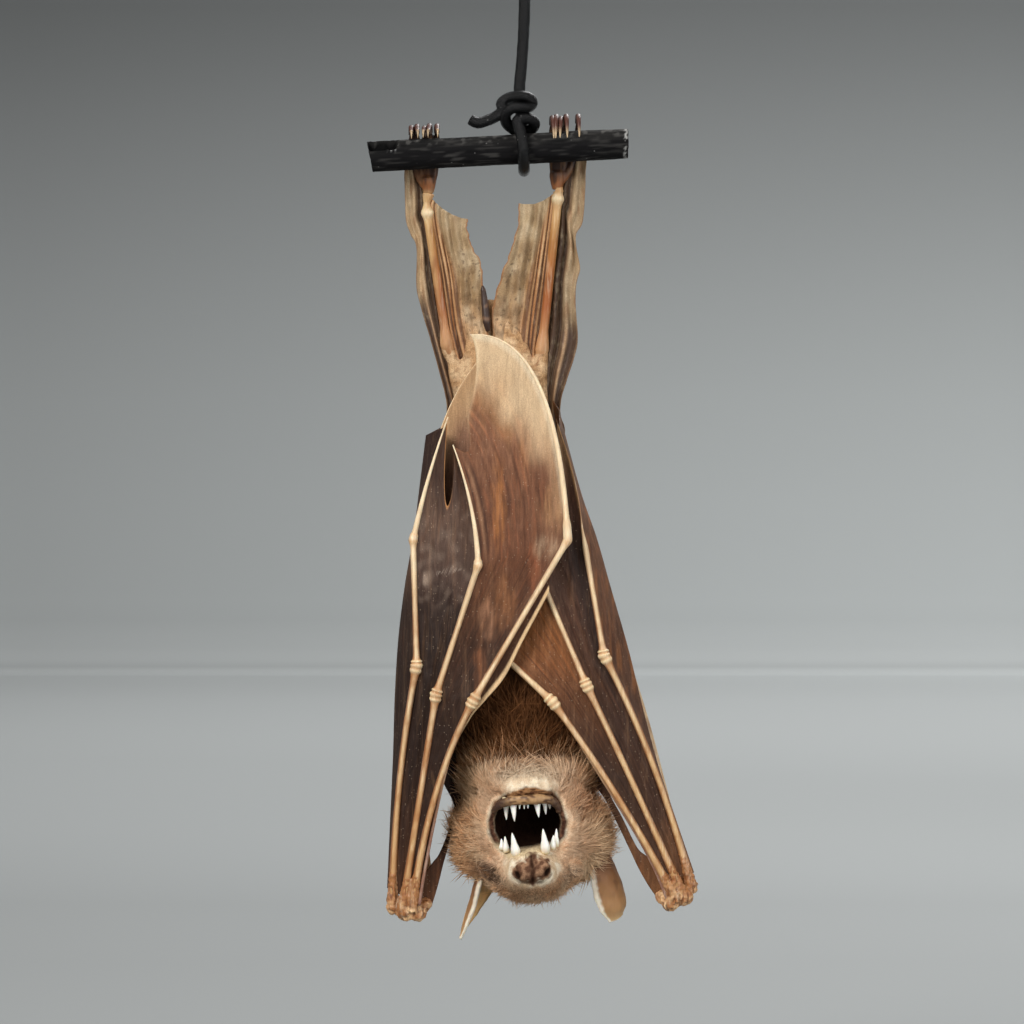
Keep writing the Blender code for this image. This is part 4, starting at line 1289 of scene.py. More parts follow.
def weathered(color: Color, place: Point, seed: float, amount: float = 1.0) -> Color:
    """A skin colour with dark and light streaks along it and a mottle."""
    x, y, z = place
    for wide, tall, size, shift, low, high, tint, share in STREAKS:
        mask = ease(low, high, ripple((x * wide, y * 0.3, z * tall), size, seed + shift))
        color = blend(color, [channel * part for channel, part in zip(color, tint)], share * amount * mask)
    mottle = ripple((x, y * 0.4, z * 0.7), 1.3, seed + 2)
    return tuple(channel * (1 + 0.2 * amount * mottle) for channel in color)


def spot(place: Point, x: float, z: float, wide: float, high: float) -> float:
    """1 at the middle of a soft, uneven patch seen from the front, 0 away from it."""
    away = math.hypot((place[0] - x) / wide, (place[2] - z) / high)
    streaky = ease(-0.35, 0.3, ripple((place[0] * 2.2, 0.0, place[2] * 0.22), 1.0, x))
    return (
        ease(1.3, 0.3, away + 0.35 * ripple((place[0] * 1.4, 0.0, place[2] * 0.7), 1.4, x + z))
        * (0.25 + 0.75 * streaky)
    )


def left_tip_shade(u: float, v: float, place: Point) -> Color:
    """Pale and clear at the tip and along the third finger, warm brown in the middle, dark by the wrist."""
    x, _, z = place
    stops = ((-208, (74, 50, 36)), (-190, (52, 34, 25)), (-172, (46, 30, 21)), (-160, (58, 37, 25)),
             (-148, (86, 54, 35)), (-136, (112, 70, 47)), (-124, (120, 78, 54)), (-115, (134, 90, 64)),
             (-109, (168, 122, 84)), (-102, (200, 154, 106)), (-96, (216, 178, 132)),
             (-90, (226, 194, 152)))
    lean = 0.27 * (x + 1.0) * ease(-140, -120, z)
    color = ramp(stops, z + lean + 6.0 * ripple((x * 1.8, 0, z * 0.16), 2.4, 2.0) * ease(-160, -112, z))
    color = weathered(color, (24.0 * u, 0.0, z), 3.0, ease(-94, -110, z) * 0.9 + 0.1)
    vein = ripple((u * 13.0, 0.0, z * 0.05), 1.0, 6.0)
    color = painted(
        color, ((146, 98, 60), 0.6 * ease(0.08, 0.4, vein) * ease(-95, -101, z) * ease(-118, -108,
            z) * ease(0.8, 0.55, u))
    )
    for sx, sz, wide, high, hue, share in (
        (-4.4, -127.0, 1.5, 9.0, (176, 112, 60), 0.7), (-3.2, -146.0, 2.6, 6.0, (158, 104, 66), 0.55),
        (-6.6, -149.6, 1.8, 4.4, (178, 128, 96), 0.75), (2.6, -140.0, 1.2, 7.0, (150, 84, 50), 0.6),
        (-8.0, -160.0, 1.3, 7.0, (150, 92, 56), 0.6), (6.6, -127.0, 2.4, 4.5, (196, 146, 100), 0.7),
        (5.4, -135.4, 3.4, 2.6, (182, 150, 120), 0.75), (0.6, -117.0, 1.2, 5.0, (168, 112, 70), 0.6),
    ):
        color = blend(color, tone(*hue), share * spot(place, sx, sz, wide, high))
    wave = 0.16 * ripple((x * 0.6, 0, z * 0.3), 2.0, 8.0)
    edge = ease(-136, -126, z) * ease(0.74 - 0.38 * ease(-124, -102, z), 0.9, u + wave)
    clear = blend(tone(178, 138, 102), tone(214, 184, 146), ease(-124, -108, z))
    color = blend(color, clear, (0.6 + 0.3 * ease(-124, -110, z)) * edge)
    color = painted(color, ((240, 222, 190), 0.6 * ease(-131, -124, z) * ease(0.93, 0.985, u)))
    beside = ease(0.90, 0.97, u) * ease(-138, -146, z) * ease(-190, -170, z)
    color = painted(
        color, ((168, 138, 112), 0.6 * beside * ease(-0.2, 0.2, ripple((x * 2, 0, z * 2), 0.9, 3.0)))
    )
    # Painted shade: two dark lines in the folds along the fourth finger, with a paler line between them.
    by_fourth = ease(-140, -134, z) * ease(-116, -122, z)
    for line, hue in ((0.045, (42, 26, 20)), (0.085, (150, 112, 84)), (0.12, (52, 32, 24))):
        color = blend(color, tone(*hue), 0.75 * by_fourth * bell(u, line, 0.014))
    return blend(
        color, tone(240, 212, 170),
        (0.28 + 0.5 * ease(-104, -97, z)) * ease(0.988, 0.998, v) * ease(-118, -108, z)
    )


def left_middle_shade(u: float, v: float, place: Point) -> Color:
    """Near black below, dusty grey-brown over its middle."""
    x, _, z = place
    stops = ((-208, (84, 54, 36)), (-180, (44, 29, 22)), (-155, (40, 28, 23)), (-148, (50, 36, 30)),
             (-142, (84, 65, 56)), (-130, (92, 70, 58)), (-120, (66, 46, 36)), (-105, (96, 66, 46)))
    color = weathered(ramp(stops, z + 2.5 * ripple((x, 0, z * 0.3), 3.0, 7.0)), (16.0 * u, 0.0, z), 6.0, 0.75)
    dusty = ease(0.0, 0.4, ripple((x, 0, z * 0.8), 1.7, 3.0)) * ease(-150, -144, z) * ease(-122, -136, z)
    color = painted(
        color,
        ((132, 112, 98), 0.45 * dusty),
        ((186, 162, 142), 0.65 * spot(place, -18.7, -141.6, 1.1, 1.5)),
    )
    scratch = abs(z + 140.4 - 0.18 * (x + 16.0)) + 0.5 * abs(ripple((x * 3, 0, z * 3), 1.0, 5.0))
    color = painted(
        color, ((190, 172, 156), 0.7 * ease(0.32, 0.1, scratch) * ease(-17.6, -16.8, x) * ease(-11.4, -12.6,
            x))
    )
    return blend(color, tone(196, 138, 84), 0.85 * ease(0.982, 0.996, v) * ease(0.6, 0.45, u))


def left_outer_shade(u: float, v: float, place: Point) -> Color:
    """Near black beside the finger, brown on the outer fold."""
    x, y, z = place
    stops = ((-206, (104, 64, 38)), (-190, (52, 35, 27)), (-165, (44, 30, 24)), (-147, (58, 40, 30)),
             (-140, (92, 64, 46)), (-132, (66, 46, 36)), (-115, (56, 38, 32)))
    return weathered(ramp(stops, z + 3.0 * ripple((x, y, z * 0.3), 3.0, 1.0)), place, 8.0, 0.7)


def right_tip_shade(u: float, v: float, place: Point) -> Color:
    """Orange-brown by the knuckles, mauve-brown and then tan at its tip."""
    x, _, z = place
    stops = ((-206, (84, 56, 36)), (-180, (62, 41, 29)), (-166, (96, 60, 36)), (-156, (138, 86, 48)),
             (-140, (136, 88, 50)), (-120, (130, 92, 70)), (-112, (156, 114, 88)), (-106, (212, 174, 132)),
             (-96, (240, 212, 172)))
    color = ramp(stops, z + 2.0 * ripple((x, 0, z * 0.3), 3.4, 5.0))
    color = weathered(color, (20.0 * u, 0.0, z), 4.0, 0.9 * ease(-98, -116, z))
    rim = ease(0.80, 0.97, u) * ease(-124, -114, z)
    color = painted(color, ((204, 162, 118), 0.85 * rim))
    return blend(color, tone(226, 190, 146), 0.6 * ease(0.97, 0.995, v) * ease(-118, -108, z))


def right_middle_shade(u: float, v: float, place: Point) -> Color:
    """Brown with darker streaks, near black along the fourth finger."""
    x, _, z = place
    stops = ((-204, (122, 80, 48)), (-188, (74, 50, 36)), (-170, (66, 44, 33)), (-160, (82, 54, 38)),
             (-145, (84, 56, 42)), (-124, (98, 70, 56)), (-117, (164, 132, 102)), (-109, (214, 182, 144)))
    color = weathered(ramp(stops, z + 3.0 * ripple((x, 0, z * 0.3), 3.0, 3.0)), (18.0 * u, 0.0, z), 2.0, 1.0)
    dark = ease(0.62, 0.25, u) * ease(-168, -158, z) * ease(-128, -136, z)
    color = painted(color, ((30, 21, 18), 0.75 * dark))
    return blend(color, tone(206, 160, 110), 0.7 * ease(0.06, 0.0, u) * ease(-130, -124, z))


def right_outer_shade(u: float, v: float, place: Point) -> Color:
    """Brown with orange-brown streaks and a paler outer edge."""
    x, y, z = place
    stops = (
        (-204, (128, 84, 50)), (-180, (86, 58, 42)), (-155, (104, 70, 50)), (-135, (120, 80, 54)),
        (-112, (104, 76, 56))
    )
    color = ramp(stops, z + 3.0 * ripple((x, y, z * 0.3), 3.0, 4.0))
    color = weathered(color, place, 7.0, 0.9)
    streak = ease(0.1, 0.4, ripple((x * 1.6, y * 0.4, z * 0.12), 1.6, 2.0)) * ease(-175, -160, z)
    return blend(color, tone(156, 98, 56), 0.6 * streak)


def ramp(stops: Sequence[tuple[float, tuple]], value: float) -> Color:
    """The colour at a value along stops of (value, colour on a screen)."""
    marks = [stop[0] for stop in stops]
    return tone(*(float(np.interp(value, marks, [stop[1][k] for stop in stops])) for k in range(3)))


LEFT_WING = Wing(
    side=Side.LEFT,
    index=((-20.4, -4.6, -206.6), (-17.6, -6.9, -191.5), (-14.5, -9.4, -178.0), (-10.8, -11.8, -168.0)),
    third=Digit((-21.7, -4.2, -207.8), (-18.6, -9.0, -182.9), (-9.5, -13.2, -165.7), (9.2, -13.6, -133.9),
                (7.0, -9.6, -92.0), (-10.1, -6.0, -93.2), warm=0.35),
    fourth=Digit((-23.6, -3.8, -207.6), (-20.2, -8.0, -185.5), (-16.8, -11.5, -164.4), (-8.5, -13.2, -138.9),
                 (-8.8, -12.6, -127.6), (-13.5, -10.0, -115.1), warm=0.75),
    fifth=Digit((-25.6, -2.6, -207.0), (-25.3, -6.0, -182.7), (-20.7, -8.7, -158.7), (-21.4, -8.7, -133.9),
                (-18.6, -8.6, -121.0), (-14.5, -7.6, -109.6), warm=0.4),
    wrist_knobs=((-25.4, -2.4, -207.2, 1.6), (-23.0, -3.0, -208.0, 2.0), (-20.6, -3.0, -208.2, 1.9),
                 (-19.2, -2.0, -206.6, 1.5), (-22.6, 0.6, -206.6, 2.3)),
    forearm=((-22.8, 1.6, -204.0), (-22.6, 4.2, -168.0), (-20.4, 6.5, -132.0)),
    shoulder=(-13.6, 7.2, -166.0),
    fold=((-26.8, -0.6, -203.5), (-26.2, -0.4, -190.0), (-25.7, 0.0, -178.0), (-25.4, 0.4, -166.0),
          (-24.7, 0.8, -154.0), (-23.4, 1.2, -143.0), (-21.8, 1.5, -134.0), (-20.6, 1.5, -124.0),
          (-19.3, 1.0, -113.2)),
    rear=((-22.8, 2.0, -203.0), (-22.7, 3.0, -190.0), (-22.4, 3.9, -177.0), (-21.6, 4.8, -163.0),
          (-19.0, 4.8, -150.0), (-14.5, 4.2, -140.0), (-12.4, 4.2, -129.0), (-10.8, 4.4, -118.0),
          (-9.6, 4.6, -108.0)),
    lead=((-20.2, -4.4, -206.0), (-17.6, -6.7, -191.5), (-14.5, -9.2, -178.0), (-10.4, -11.4, -169.6),
          (-7.3, -11.9, -165.8), (-3.3, -12.2, -161.0), (0.1, -12.6, -154.2), (3.6, -12.9, -147.6),
          (5.4, -13.2, -144.2)),
    strap_outer=((-12.6, 3.0, -171.0), (-15.7, 2.0, -179.5), (-15.5, 1.5, -182.6), (-13.4, 1.2, -187.0),
                 (-14.3, 0.6, -191.5), (-16.2, -0.8, -196.4), (-17.8, -1.8, -198.6), (-20.2, -2.2, -202.0),
                 (-21.0, -2.4, -207.0)),
    strap_inner=((-8.0, 4.2, -172.0), (-9.6, 3.4, -180.0), (-12.0, 1.8, -186.5), (-13.5, 0.6, -191.0),
                 (-14.9, -1.0, -196.4), (-15.6, -1.4, -199.0), (-16.6, -1.8, -203.0),
                 (-17.8, -2.2, -207.0)),
    thumb=((-20.0, 2.0, -206.0), (-18.8, 2.8, -200.0), (-19.6, 3.6, -193.6), (-19.8, 2.6, -190.2)),
    tip_shade=left_tip_shade, middle_shade=left_middle_shade, outer_shade=left_outer_shade,
    tip_hem=hem_of_left_tip,
)
RIGHT_WING = Wing(
    side=Side.RIGHT,
    index=((29.3, -4.0, -205.6), (24.6, -5.2, -195.4), (15.4, -7.6, -180.2), (8.4, -9.4, -169.0)),
    third=Digit((31.0, -4.2, -206.0), (20.4, -8.2, -185.1), (6.1, -11.2, -165.8), (-18.2, -5.9, -143.5),
                (-21.9, -2.2, -113.6), (-7.5, -3.5, -97.0), warm=0.5, tip_size=0.5,
                tip_tone=tone(240, 208, 164)),
    fourth=Digit((32.3, -3.6, -205.0), (22.8, -7.7, -183.0), (12.8, -10.2, -162.4), (3.0, -9.4, -139.5),
                 (4.8, -8.2, -127.0), (5.9, -7.2, -115.1), warm=0.15),
    fifth=Digit((34.0, -2.2, -203.4), (28.0, -5.6, -179.3), (16.4, -8.7, -156.7), (12.1, -7.7, -131.6),
                (11.2, -7.2, -121.0), (6.9, -6.0, -109.9), warm=0.1, tip_size=0.3,
                tip_tone=tone(150, 108, 70)),
    wrist_knobs=((34.0, -1.8, -203.2, 1.5), (32.4, -3.0, -205.0, 2.0), (29.8, -3.0, -206.2, 1.9),
                 (28.3, -2.0, -205.2, 1.5), (32.2, 0.6, -203.8, 2.3)),
    forearm=((32.4, 1.6, -201.0), (24.0, 3.4, -168.0), (11.4, 6.8, -132.0)),
    shoulder=(14.6, 7.8, -165.0),
    fold=((34.6, -0.6, -200.5), (31.0, -0.4, -190.0), (27.4, 0.0, -179.0), (24.4, 0.4, -167.5),
          (21.6, 0.8, -156.0), (18.2, 1.2, -144.0), (15.4, 1.5, -134.0), (12.2, 1.5, -125.0),
          (8.9, 1.0, -113.2), (7.6, 1.0, -107.8)),
    rear=((32.4, 2.0, -200.0), (29.2, 2.8, -188.0), (26.4, 3.6, -177.0), (23.2, 4.6, -164.0),
          (18.6, 5.0, -151.0), (12.6, 4.2, -141.0), (10.6, 4.2, -130.0), (8.2, 4.4, -118.0),
          (6.4, 4.6, -106.0)),
    strap_outer=((14.4, 4.0, -170.0), (16.4, 3.0, -179.0), (17.6, 2.0, -184.4), (20.2, 0.6, -189.4),
                 (23.2, -0.8, -195.4), (25.4, -1.8, -197.4), (28.8, -2.4, -201.2), (31.0, -2.6, -205.4)),
    strap_inner=((9.0, 4.2, -170.0), (12.0, 3.4, -180.0), (16.2, 2.0, -185.0), (18.9, 0.6, -190.0),
                 (21.9, -1.0, -196.2), (23.2, -1.4, -199.0), (25.2, -1.8, -202.6), (27.4, -2.2, -205.8)),
    thumb=((29.6, 1.6, -203.0), (26.2, 2.8, -197.6), (24.6, 3.6, -191.6), (23.2, 2.6, -188.6)),
    tip_shade=right_tip_shade, middle_shade=right_middle_shade, outer_shade=right_outer_shade,
    tip_hem=hem_of_right_tip,
)
WINGS = (LEFT_WING, RIGHT_WING)


# ---------------------------------------------------------------- legs


@dataclass(frozen=True)
class Leg:
    """One hind leg, from the claws over the stick down to the hip."""

    side: Side
    ankle: Point
    shin_knob: Point
    knee: Point
    hip: Point
    claws_x: tuple[float, ...]
    claw_rise: float
    claw_drop: float
    web_edge: tuple[Point, ...]
    strip_edge: tuple[Point, ...]
    strip_ends_z: float

    def build(self, perch: Perch) -> None:
        """The leg's bones, foot, claws and skins, in place of their solids."""
        self.build_shin()
        self.build_foot(perch)
        self.build_skins()

    def build_shin(self) -> None:
        """The shin bone under its skin, with the two knobs of the ankle."""
        above = math.dist(self.ankle, self.shin_knob)
        knob = above / (above + math.dist(self.shin_knob, self.knee))
        path = even((self.ankle, self.shin_knob, blend(self.shin_knob, self.knee, 0.5), self.knee), 120)
        path += [blend(self.knee, self.hip, k / 30) for k in range(1, 10)]
        radii = []
        for i in range(129):
            v = min(i / 119, 1.0)
            radius = 0.86 + 0.06 * math.sin(2.6 * v) + 0.5 * ease(0.86, 1.0, v)
            radius += 0.42 * bell(v, knob, 0.028) + 0.3 * bell(v, 0.005, 0.03)
            radius -= 0.12 * max(i - 119, 0)
            radii.append(radius - 0.16 * bell(v, 0.5 * knob, 0.02))

        def shade(u: float, v: float, place: Point) -> Color:
            """Cream at the ankle's knobs, orange at mid shin and pinkish lower down."""
            v = min(v * 128 / 119, 1.0)
            color = ramp(((0.0, (198, 156, 108)), (0.16, (204, 164, 112)), (0.3, (176, 126, 68)),
                          (0.5, (164, 100, 42)),
                          (0.72, (160, 90, 44)), (0.86, (186, 130, 84)), (1.0, (204, 160, 116))), v)
            side = math.cos(2 * math.pi * u)
            color = painted(color, ((222, 190, 138), 0.5 * ease(0.3, 1.0, side) * ease(0.9, 0.5, v)))
            dark = ease(0.05, 0.5, ripple((place[0] * 2, place[1] * 2, place[2] * 0.5), 2.0, 3.0))
            color = painted(color, ((128, 76, 40), 0.5 * dark * ease(0.1, 0.3, v)))
            return blend(color, tone(250, 230, 190), 0.8 * bell(v, knob, 0.03))

        finish_mesh(f"shin_bone_{self.side}", tube_of(path, radii, 16, shade), BONE, f"shin_{self.side}")

    def build_foot(self, perch: Perch) -> None:
        """The foot behind the stick, its toes up over it, and the claws."""
        middle = perch.axis(self.ankle[0])
        toe_root_z = middle[2] - 1.0
        parts = [tube_of(even((self.ankle, blend(self.ankle, (self.ankle[0], 5.0, toe_root_z), 0.5)), 8),
                         [1.05, 1.15, 1.3, 1.4, 1.5, 1.6, 1.6, 1.5], 14)]
        claws = []
        for i, x in enumerate(self.claws_x):
            z = perch.axis(x)[2]
            rise = self.claw_rise + 0.25 * math.sin(2.3 * i)
            root = blend(self.ankle, (x, 5.0, toe_root_z), 0.25)
            bones = even(
                (root, blend(root, (x, 5.3, z - 1.0), 0.6), (x, 5.0, z + 1.0), (x, 4.7, z + 3.2),
                (x, 3.6, z + rise - 1.0)), 16
            )
            parts.append(
                tube_of(bones,
                [0.8, 0.85, 0.9, 0.9, 0.85, 0.82, 0.8, 0.8, 0.78, 0.72, 0.68, 0.7, 0.66, 0.6, 0.5, 0.3], 12)
            )
            lean = 0.35 * math.sin(1.7 * i + (0.4 if self.side is Side.LEFT else 1.9))
            hook = even(((x, 3.7, z + rise - 1.1), (x, 2.6, z + rise - 0.2), (x + 0.3 * lean, 1.0, z + rise),
                         (x + 0.6 * lean, -0.9, z + rise - 1.0), (x + lean, -2.2, z + self.claw_drop + 1.6),
                         (x + lean, -2.55, z + self.claw_drop + 0.1)), 26)
            stout = 0.56 + 0.07 * math.sin(3.1 * i)
            radii = [stout * (1 - (k / 25) ** 2.4) + 0.03 for k in range(26)]
            claws.append(tube_of(hook, radii, 10, self.claw_shade, flat=1.15))

        def skin_shade(place: Point) -> Color:
            """Dark brown skin, darkest up under the stick with painted shadow of the stick, more orange
            towards the ankle.
            """
            # Dark brown skin, partly its own colour and partly painted shadow of the stick above.
            color = blend(tone(58, 38, 28), tone(150, 92, 50), ease(-59.0, -63.0, place[2]))
            color = painted(color, ((226, 184, 132), ease(-63.2, -65.0, place[2])))
            lines = ripple((place[0] * 2.4, place[1], place[2] * 0.4), 1.4, 5.0)
            color = painted(color, ((40, 24, 18), 0.7 * ease(0.0, 0.35, lines)))
            return blend(color, tone(146, 106, 72), 0.5 * ease(0.1, 0.45, -lines))

        foot = fuse(f"foot_skin_{self.side}", parts, 0.24, 1, skin_shade, BARE_SKIN)
        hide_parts(f"foot_{self.side}")
        finish_mesh(f"claws_{self.side}", join(claws), CLAW)

    def claw_shade(self, u: float, v: float, place: Point) -> Color:
        """Dark red-brown horn with a painted highlight along one side and a pale, clear tip."""
        color = blend(tone(44, 24, 20), tone(84, 50, 40), ease(0.2, 0.5, v))
        # Painted highlight: a cream stripe along one side of each claw.
        ridge = ease(0.80, 0.98, math.sin(2 * math.pi * u + 0.8))
        color = painted(color, ((206, 178, 156), 0.6 * ridge))
        return blend(color, tone(214, 186, 146), 0.9 * ease(0.66, 0.9, v))

    def inner_shade(self, u: float, v: float, place: Point) -> Color:
        """Thin greyish skin with brown pleats by the shin, painted shade and highlights on them, and an
        orange hem.
        """
        x, _, z = place
        color = blend(tone(172, 148, 114), tone(158, 130, 94), ease(-68, -84, z))
        color = painted(color, ((198, 160, 120), ease(-83, -92, z)))
        cloud = ripple((x * 0.9, 0, z * 0.5), 2.2, 4.0)
        color = painted(
            color,
            ((132, 106, 76), 0.55 * ease(0.0, 0.5, cloud)),
            ((206, 188, 158), 0.4 * ease(0.0, 0.5, -cloud)),
        )
        spots = ease(0.34, 0.5, ripple((x * 1.2, 0, z * 1.6), 0.75, 7.0)) * ease(-72, -78, z)
        color = painted(color, ((72, 56, 40), 0.75 * spots))
        reach = 0.26 + 0.28 * ease(0.15, 0.6, v)
        pleat = ease(reach, reach * 0.55, u)
        lines = ripple((u * 24, v * 1.2, 0.0), 1.0, 2.0)
        # In the pleat zone the orange-brown is the skin's own; the dark lines are painted shade in the folds
        # and the pale lines painted highlights on the ridges.
        color = painted(
            color,
            ((176, 112, 62), 0.75 * pleat),
            ((66, 38, 24), 0.95 * pleat * ease(-0.05, 0.22, lines)),
            ((214, 178, 132), 0.7 * pleat * ease(0.12, 0.4, -lines)),
            ((60, 34, 22), 0.9 * ease(0.07, 0.01, u)),
        )
        dirt = (
            ease(0.02, 0.3, ripple((x * 1.4, 0, z * 0.7), 1.6, 11.0)) * ease(-73.0, -80.0, z)
            * ease(0.35, 0.6, u)
        )
        color = painted(color, ((112, 86, 58), 0.55 * dirt))
        return blend(
            color, tone(150, 96, 52), 0.75 * ease(0.955, 0.985, u + 0.01 * ripple((v * 30, 0, 0), 1.0))
        )

    def outer_shade(self, u: float, v: float, place: Point) -> Color:
        """A dark fold beside the shin and a pale strip outside it, which turns dark lower down."""
        x, y, z = place
        lines = ripple((u * 12, v * 1.8, 3.0), 1.0, 6.0)
        dark = blend(tone(66, 48, 36), tone(128, 104, 80), ease(0.0, 0.4, lines))
        dark = painted(
            dark,
            ((40, 26, 20), ease(0.3, 0.0, u)),
            ((36, 24, 18), 0.8 * ease(0.08, 0.3, ripple((u * 20, v * 1.2, 9.0), 1.0, 3.0))),
        )
        pale = blend(
            tone(164, 142, 112), tone(186, 158, 122), ease(-0.3, 0.4, ripple((x, y, z * 0.4), 2.0, 8.0))
        )
        pale = painted(pale, ((142, 104, 72), 0.6 * ease(0.1, 0.5, ripple((x * 2, y, z * 0.5), 1.6, 9.0))))
        low = ease(self.strip_ends_z + 3.0, self.strip_ends_z - 3.0, z)
        pale = painted(
            pale,
            ((66, 50, 42), low),
            ((182, 146, 110), 0.8 * low * bell(u, 0.66, 0.045)),
        )
        color = blend(dark, pale, ease(0.5, 0.62, u))
        return blend(color, tone(122, 90, 60), 0.7 * ease(0.96, 0.99, u))

    def build_skins(self) -> None:
        """The thin skin from the shin to the tail, and the folded strip outside the shin."""
        shin = [self.ankle, self.shin_knob, blend(self.shin_knob, self.knee, 0.5), self.knee]
        top = (self.ankle[0] + 1.2 * self.side.sign, 5.3, -56.6)
        inner = Web("tail_skin", "tail_web", lambda v: along([*shin, blend(self.knee, self.hip, 0.6)], v),
                    lambda v: along(self.web_edge, v), self.inner_shade, sag=0.3, pleats=6,
                    pleat_gather=0.5, pleat_depth=0.42, crumple=0.3, columns=64, rows=96, seed=11.0,
                    droop=1.3, ragged=0.05)
        flank = [top, *shin, self.hip, (self.hip[0], 6.0, -119.0)]
        outer = Web("strip_skin", "leg_web", lambda v: along(flank, v),
                    lambda v: blend(along(self.strip_edge, v), (self.hip[0], 6.0, -120.0), ease(0.9, 1.0, v)),
                    self.outer_shade, sag=0.9, pleats=3, pleat_gather=0.8, pleat_depth=-0.6, crumple=0.35,
                    columns=48, rows=130, seed=13.0, ragged=0.05)
        for web in (inner, outer):
            web.build(self.side, PALE_SKIN, 0.16)


LEFT_LEG = Leg(
    side=Side.LEFT, ankle=(-18.6, 5.0, -64.4), shin_knob=(-18.8, 5.0, -68.3), knee=(-14.9, 6.5, -94.8),
    hip=(-9.0, 7.0, -114.0), claws_x=(-22.0, -20.9, -19.3, -18.3, -16.9), claw_rise=5.5, claw_drop=2.9,
    web_edge=((-10.6, 4.5, -69.6), (-10.8, 4.5, -71.6), (-9.9, 4.5, -74.9), (-8.1, 4.6, -78.2),
              (-7.7, 4.8, -82.4), (-7.2, 5.0, -88.0), (-5.6, 4.0, -99.0)),
    strip_edge=((-23.3, 4.3, -56.6), (-23.4, 4.6, -61.5), (-22.9, 5.0, -70.7), (-21.0, 5.4, -75.4),
                (-20.9, 5.4, -84.0), (-18.3, 5.0, -93.2), (-14.9, 4.2, -106.6), (-15.6, 4.2, -112.0),
                (-16.4, 4.2, -119.0)),
    strip_ends_z=-86.0,
)
RIGHT_LEG = Leg(
    side=Side.RIGHT, ankle=(7.3, 5.0, -63.6), shin_knob=(7.4, 5.0, -65.6), knee=(4.2, 6.5, -95.8),
    hip=(3.4, 7.0, -114.0), claws_x=(6.2, 7.1, 8.1, 9.0, 11.4), claw_rise=6.0, claw_drop=1.0,
    web_edge=((-0.5, 4.5, -66.4), (-0.7, 4.5, -71.2), (-2.2, 4.6, -76.2), (-3.9, 4.7, -80.6),
              (-5.5, 4.9, -86.6), (-5.8, 5.0, -89.6), (-5.0, 4.0, -99.0)),
    strip_edge=((13.0, 4.3, -56.6), (13.0, 4.6, -61.4), (12.5, 5.0, -69.2), (11.0, 5.2, -73.6),
                (11.8, 5.2, -79.2), (11.0, 5.3, -84.0), (11.2, 5.2, -94.8), (8.8, 4.4, -103.2),
                (7.8, 4.2, -107.4), (8.8, 4.2, -112.0), (9.8, 4.4, -119.0)),
    strip_ends_z=-90.0,
)
LEGS = (LEFT_LEG, RIGHT_LEG)


# ---------------------------------------------------------------- body


FACE_X = 2.0
NOSE_X = 2.2
MOUTH_X, MOUTH_Z = 1.6, -190.2
THROAT_Z = -176.0
FACE_BACK_Y = 1.0
LIPS_BACK_Y = -5.0
LEFT_NOSE_PAD = (0.2, -199.1)
RIGHT_NOSE_PAD = (4.2, -198.5)
NOSTRILS = ((-0.7, -199.6), (5.1, -199.0))
MOUTH_RIM = (
    (-5.9, -189.3), (-4.9, -186.2), (-2.6, -184.6), (1.0, -183.9), (5.8, -183.9), (7.4, -186.0),
    (8.5, -189.6), (8.1, -192.2), (6.2, -194.3), (2.2, -195.3), (-2.4, -196.0), (-4.6, -194.0),
    (-5.7, -191.8),
)
EYES = ((Side.LEFT, (-6.1, -8.1, -199.0)), (Side.RIGHT, (10.1, -8.1, -199.0)))
EYE_RADIUS = 1.75


def loft_of(
    sections: Sequence[Sequence[float]], facing: bool, sides: int = 40, rows: int = 60, inset: float = 0.0
) -> bmesh.types.BMesh:
    """A closed body through ellipses.

    Args:
        sections: Middle x, y, z, half width and half depth of each ellipse.
        facing: Whether the ellipses stand upright and face the viewer, or lie level.
        sides: Faces round it.
        rows: Faces along it.
        inset: How far the body lies inside the ellipses.

    Returns:
        The body's bmesh, in metres.
    """
    def surface(u: float, v: float) -> Point:
        """The body's skin, with u round it and v along it."""
        x, y, z, wide, deep = along(sections, v)
        a = max(wide - inset, 0.4) * math.cos(2 * math.pi * u)
        b = max(deep - inset, 0.4) * math.sin(2 * math.pi * u)
        return (x + a, y, z + b) if facing else (x + a, y + b, z)

    return cloth_of(surface, sides, rows, wrap=True, capped=True)


def ball_of(center: Point, radii: Point) -> bmesh.types.BMesh:
    """A round form, in metres, from its middle and half sizes in millimetres."""
    ball = bmesh.new()
    bmesh.ops.create_uvsphere(ball, u_segments=32, v_segments=20, radius=1.0)
    bmesh.ops.scale(ball, vec=at(radii), verts=ball.verts)
    bmesh.ops.translate(ball, vec=at(center), verts=ball.verts)
    return ball


def rim_distance(x: float, z: float) -> float:
    """How far a point lies outside the mouth's rim, seen from the front; below 0 inside it."""
    inside, nearest = False, 99.0
    for (ax, az), (bx, bz) in zip(MOUTH_RIM, MOUTH_RIM[1:] + MOUTH_RIM[:1]):
        if (az > z) != (bz > z) and x < (bx - ax) * (z - az) / (bz - az) + ax:
            inside = not inside
        t = min(
            max(((x - ax) * (bx - ax) + (z - az) * (bz - az)) / ((bx - ax) ** 2 + (bz - az) ** 2), 0.0), 1.0
        )
        nearest = min(nearest, math.hypot(x - ax - t * (bx - ax), z - az - t * (bz - az)))
    return -nearest if inside else nearest


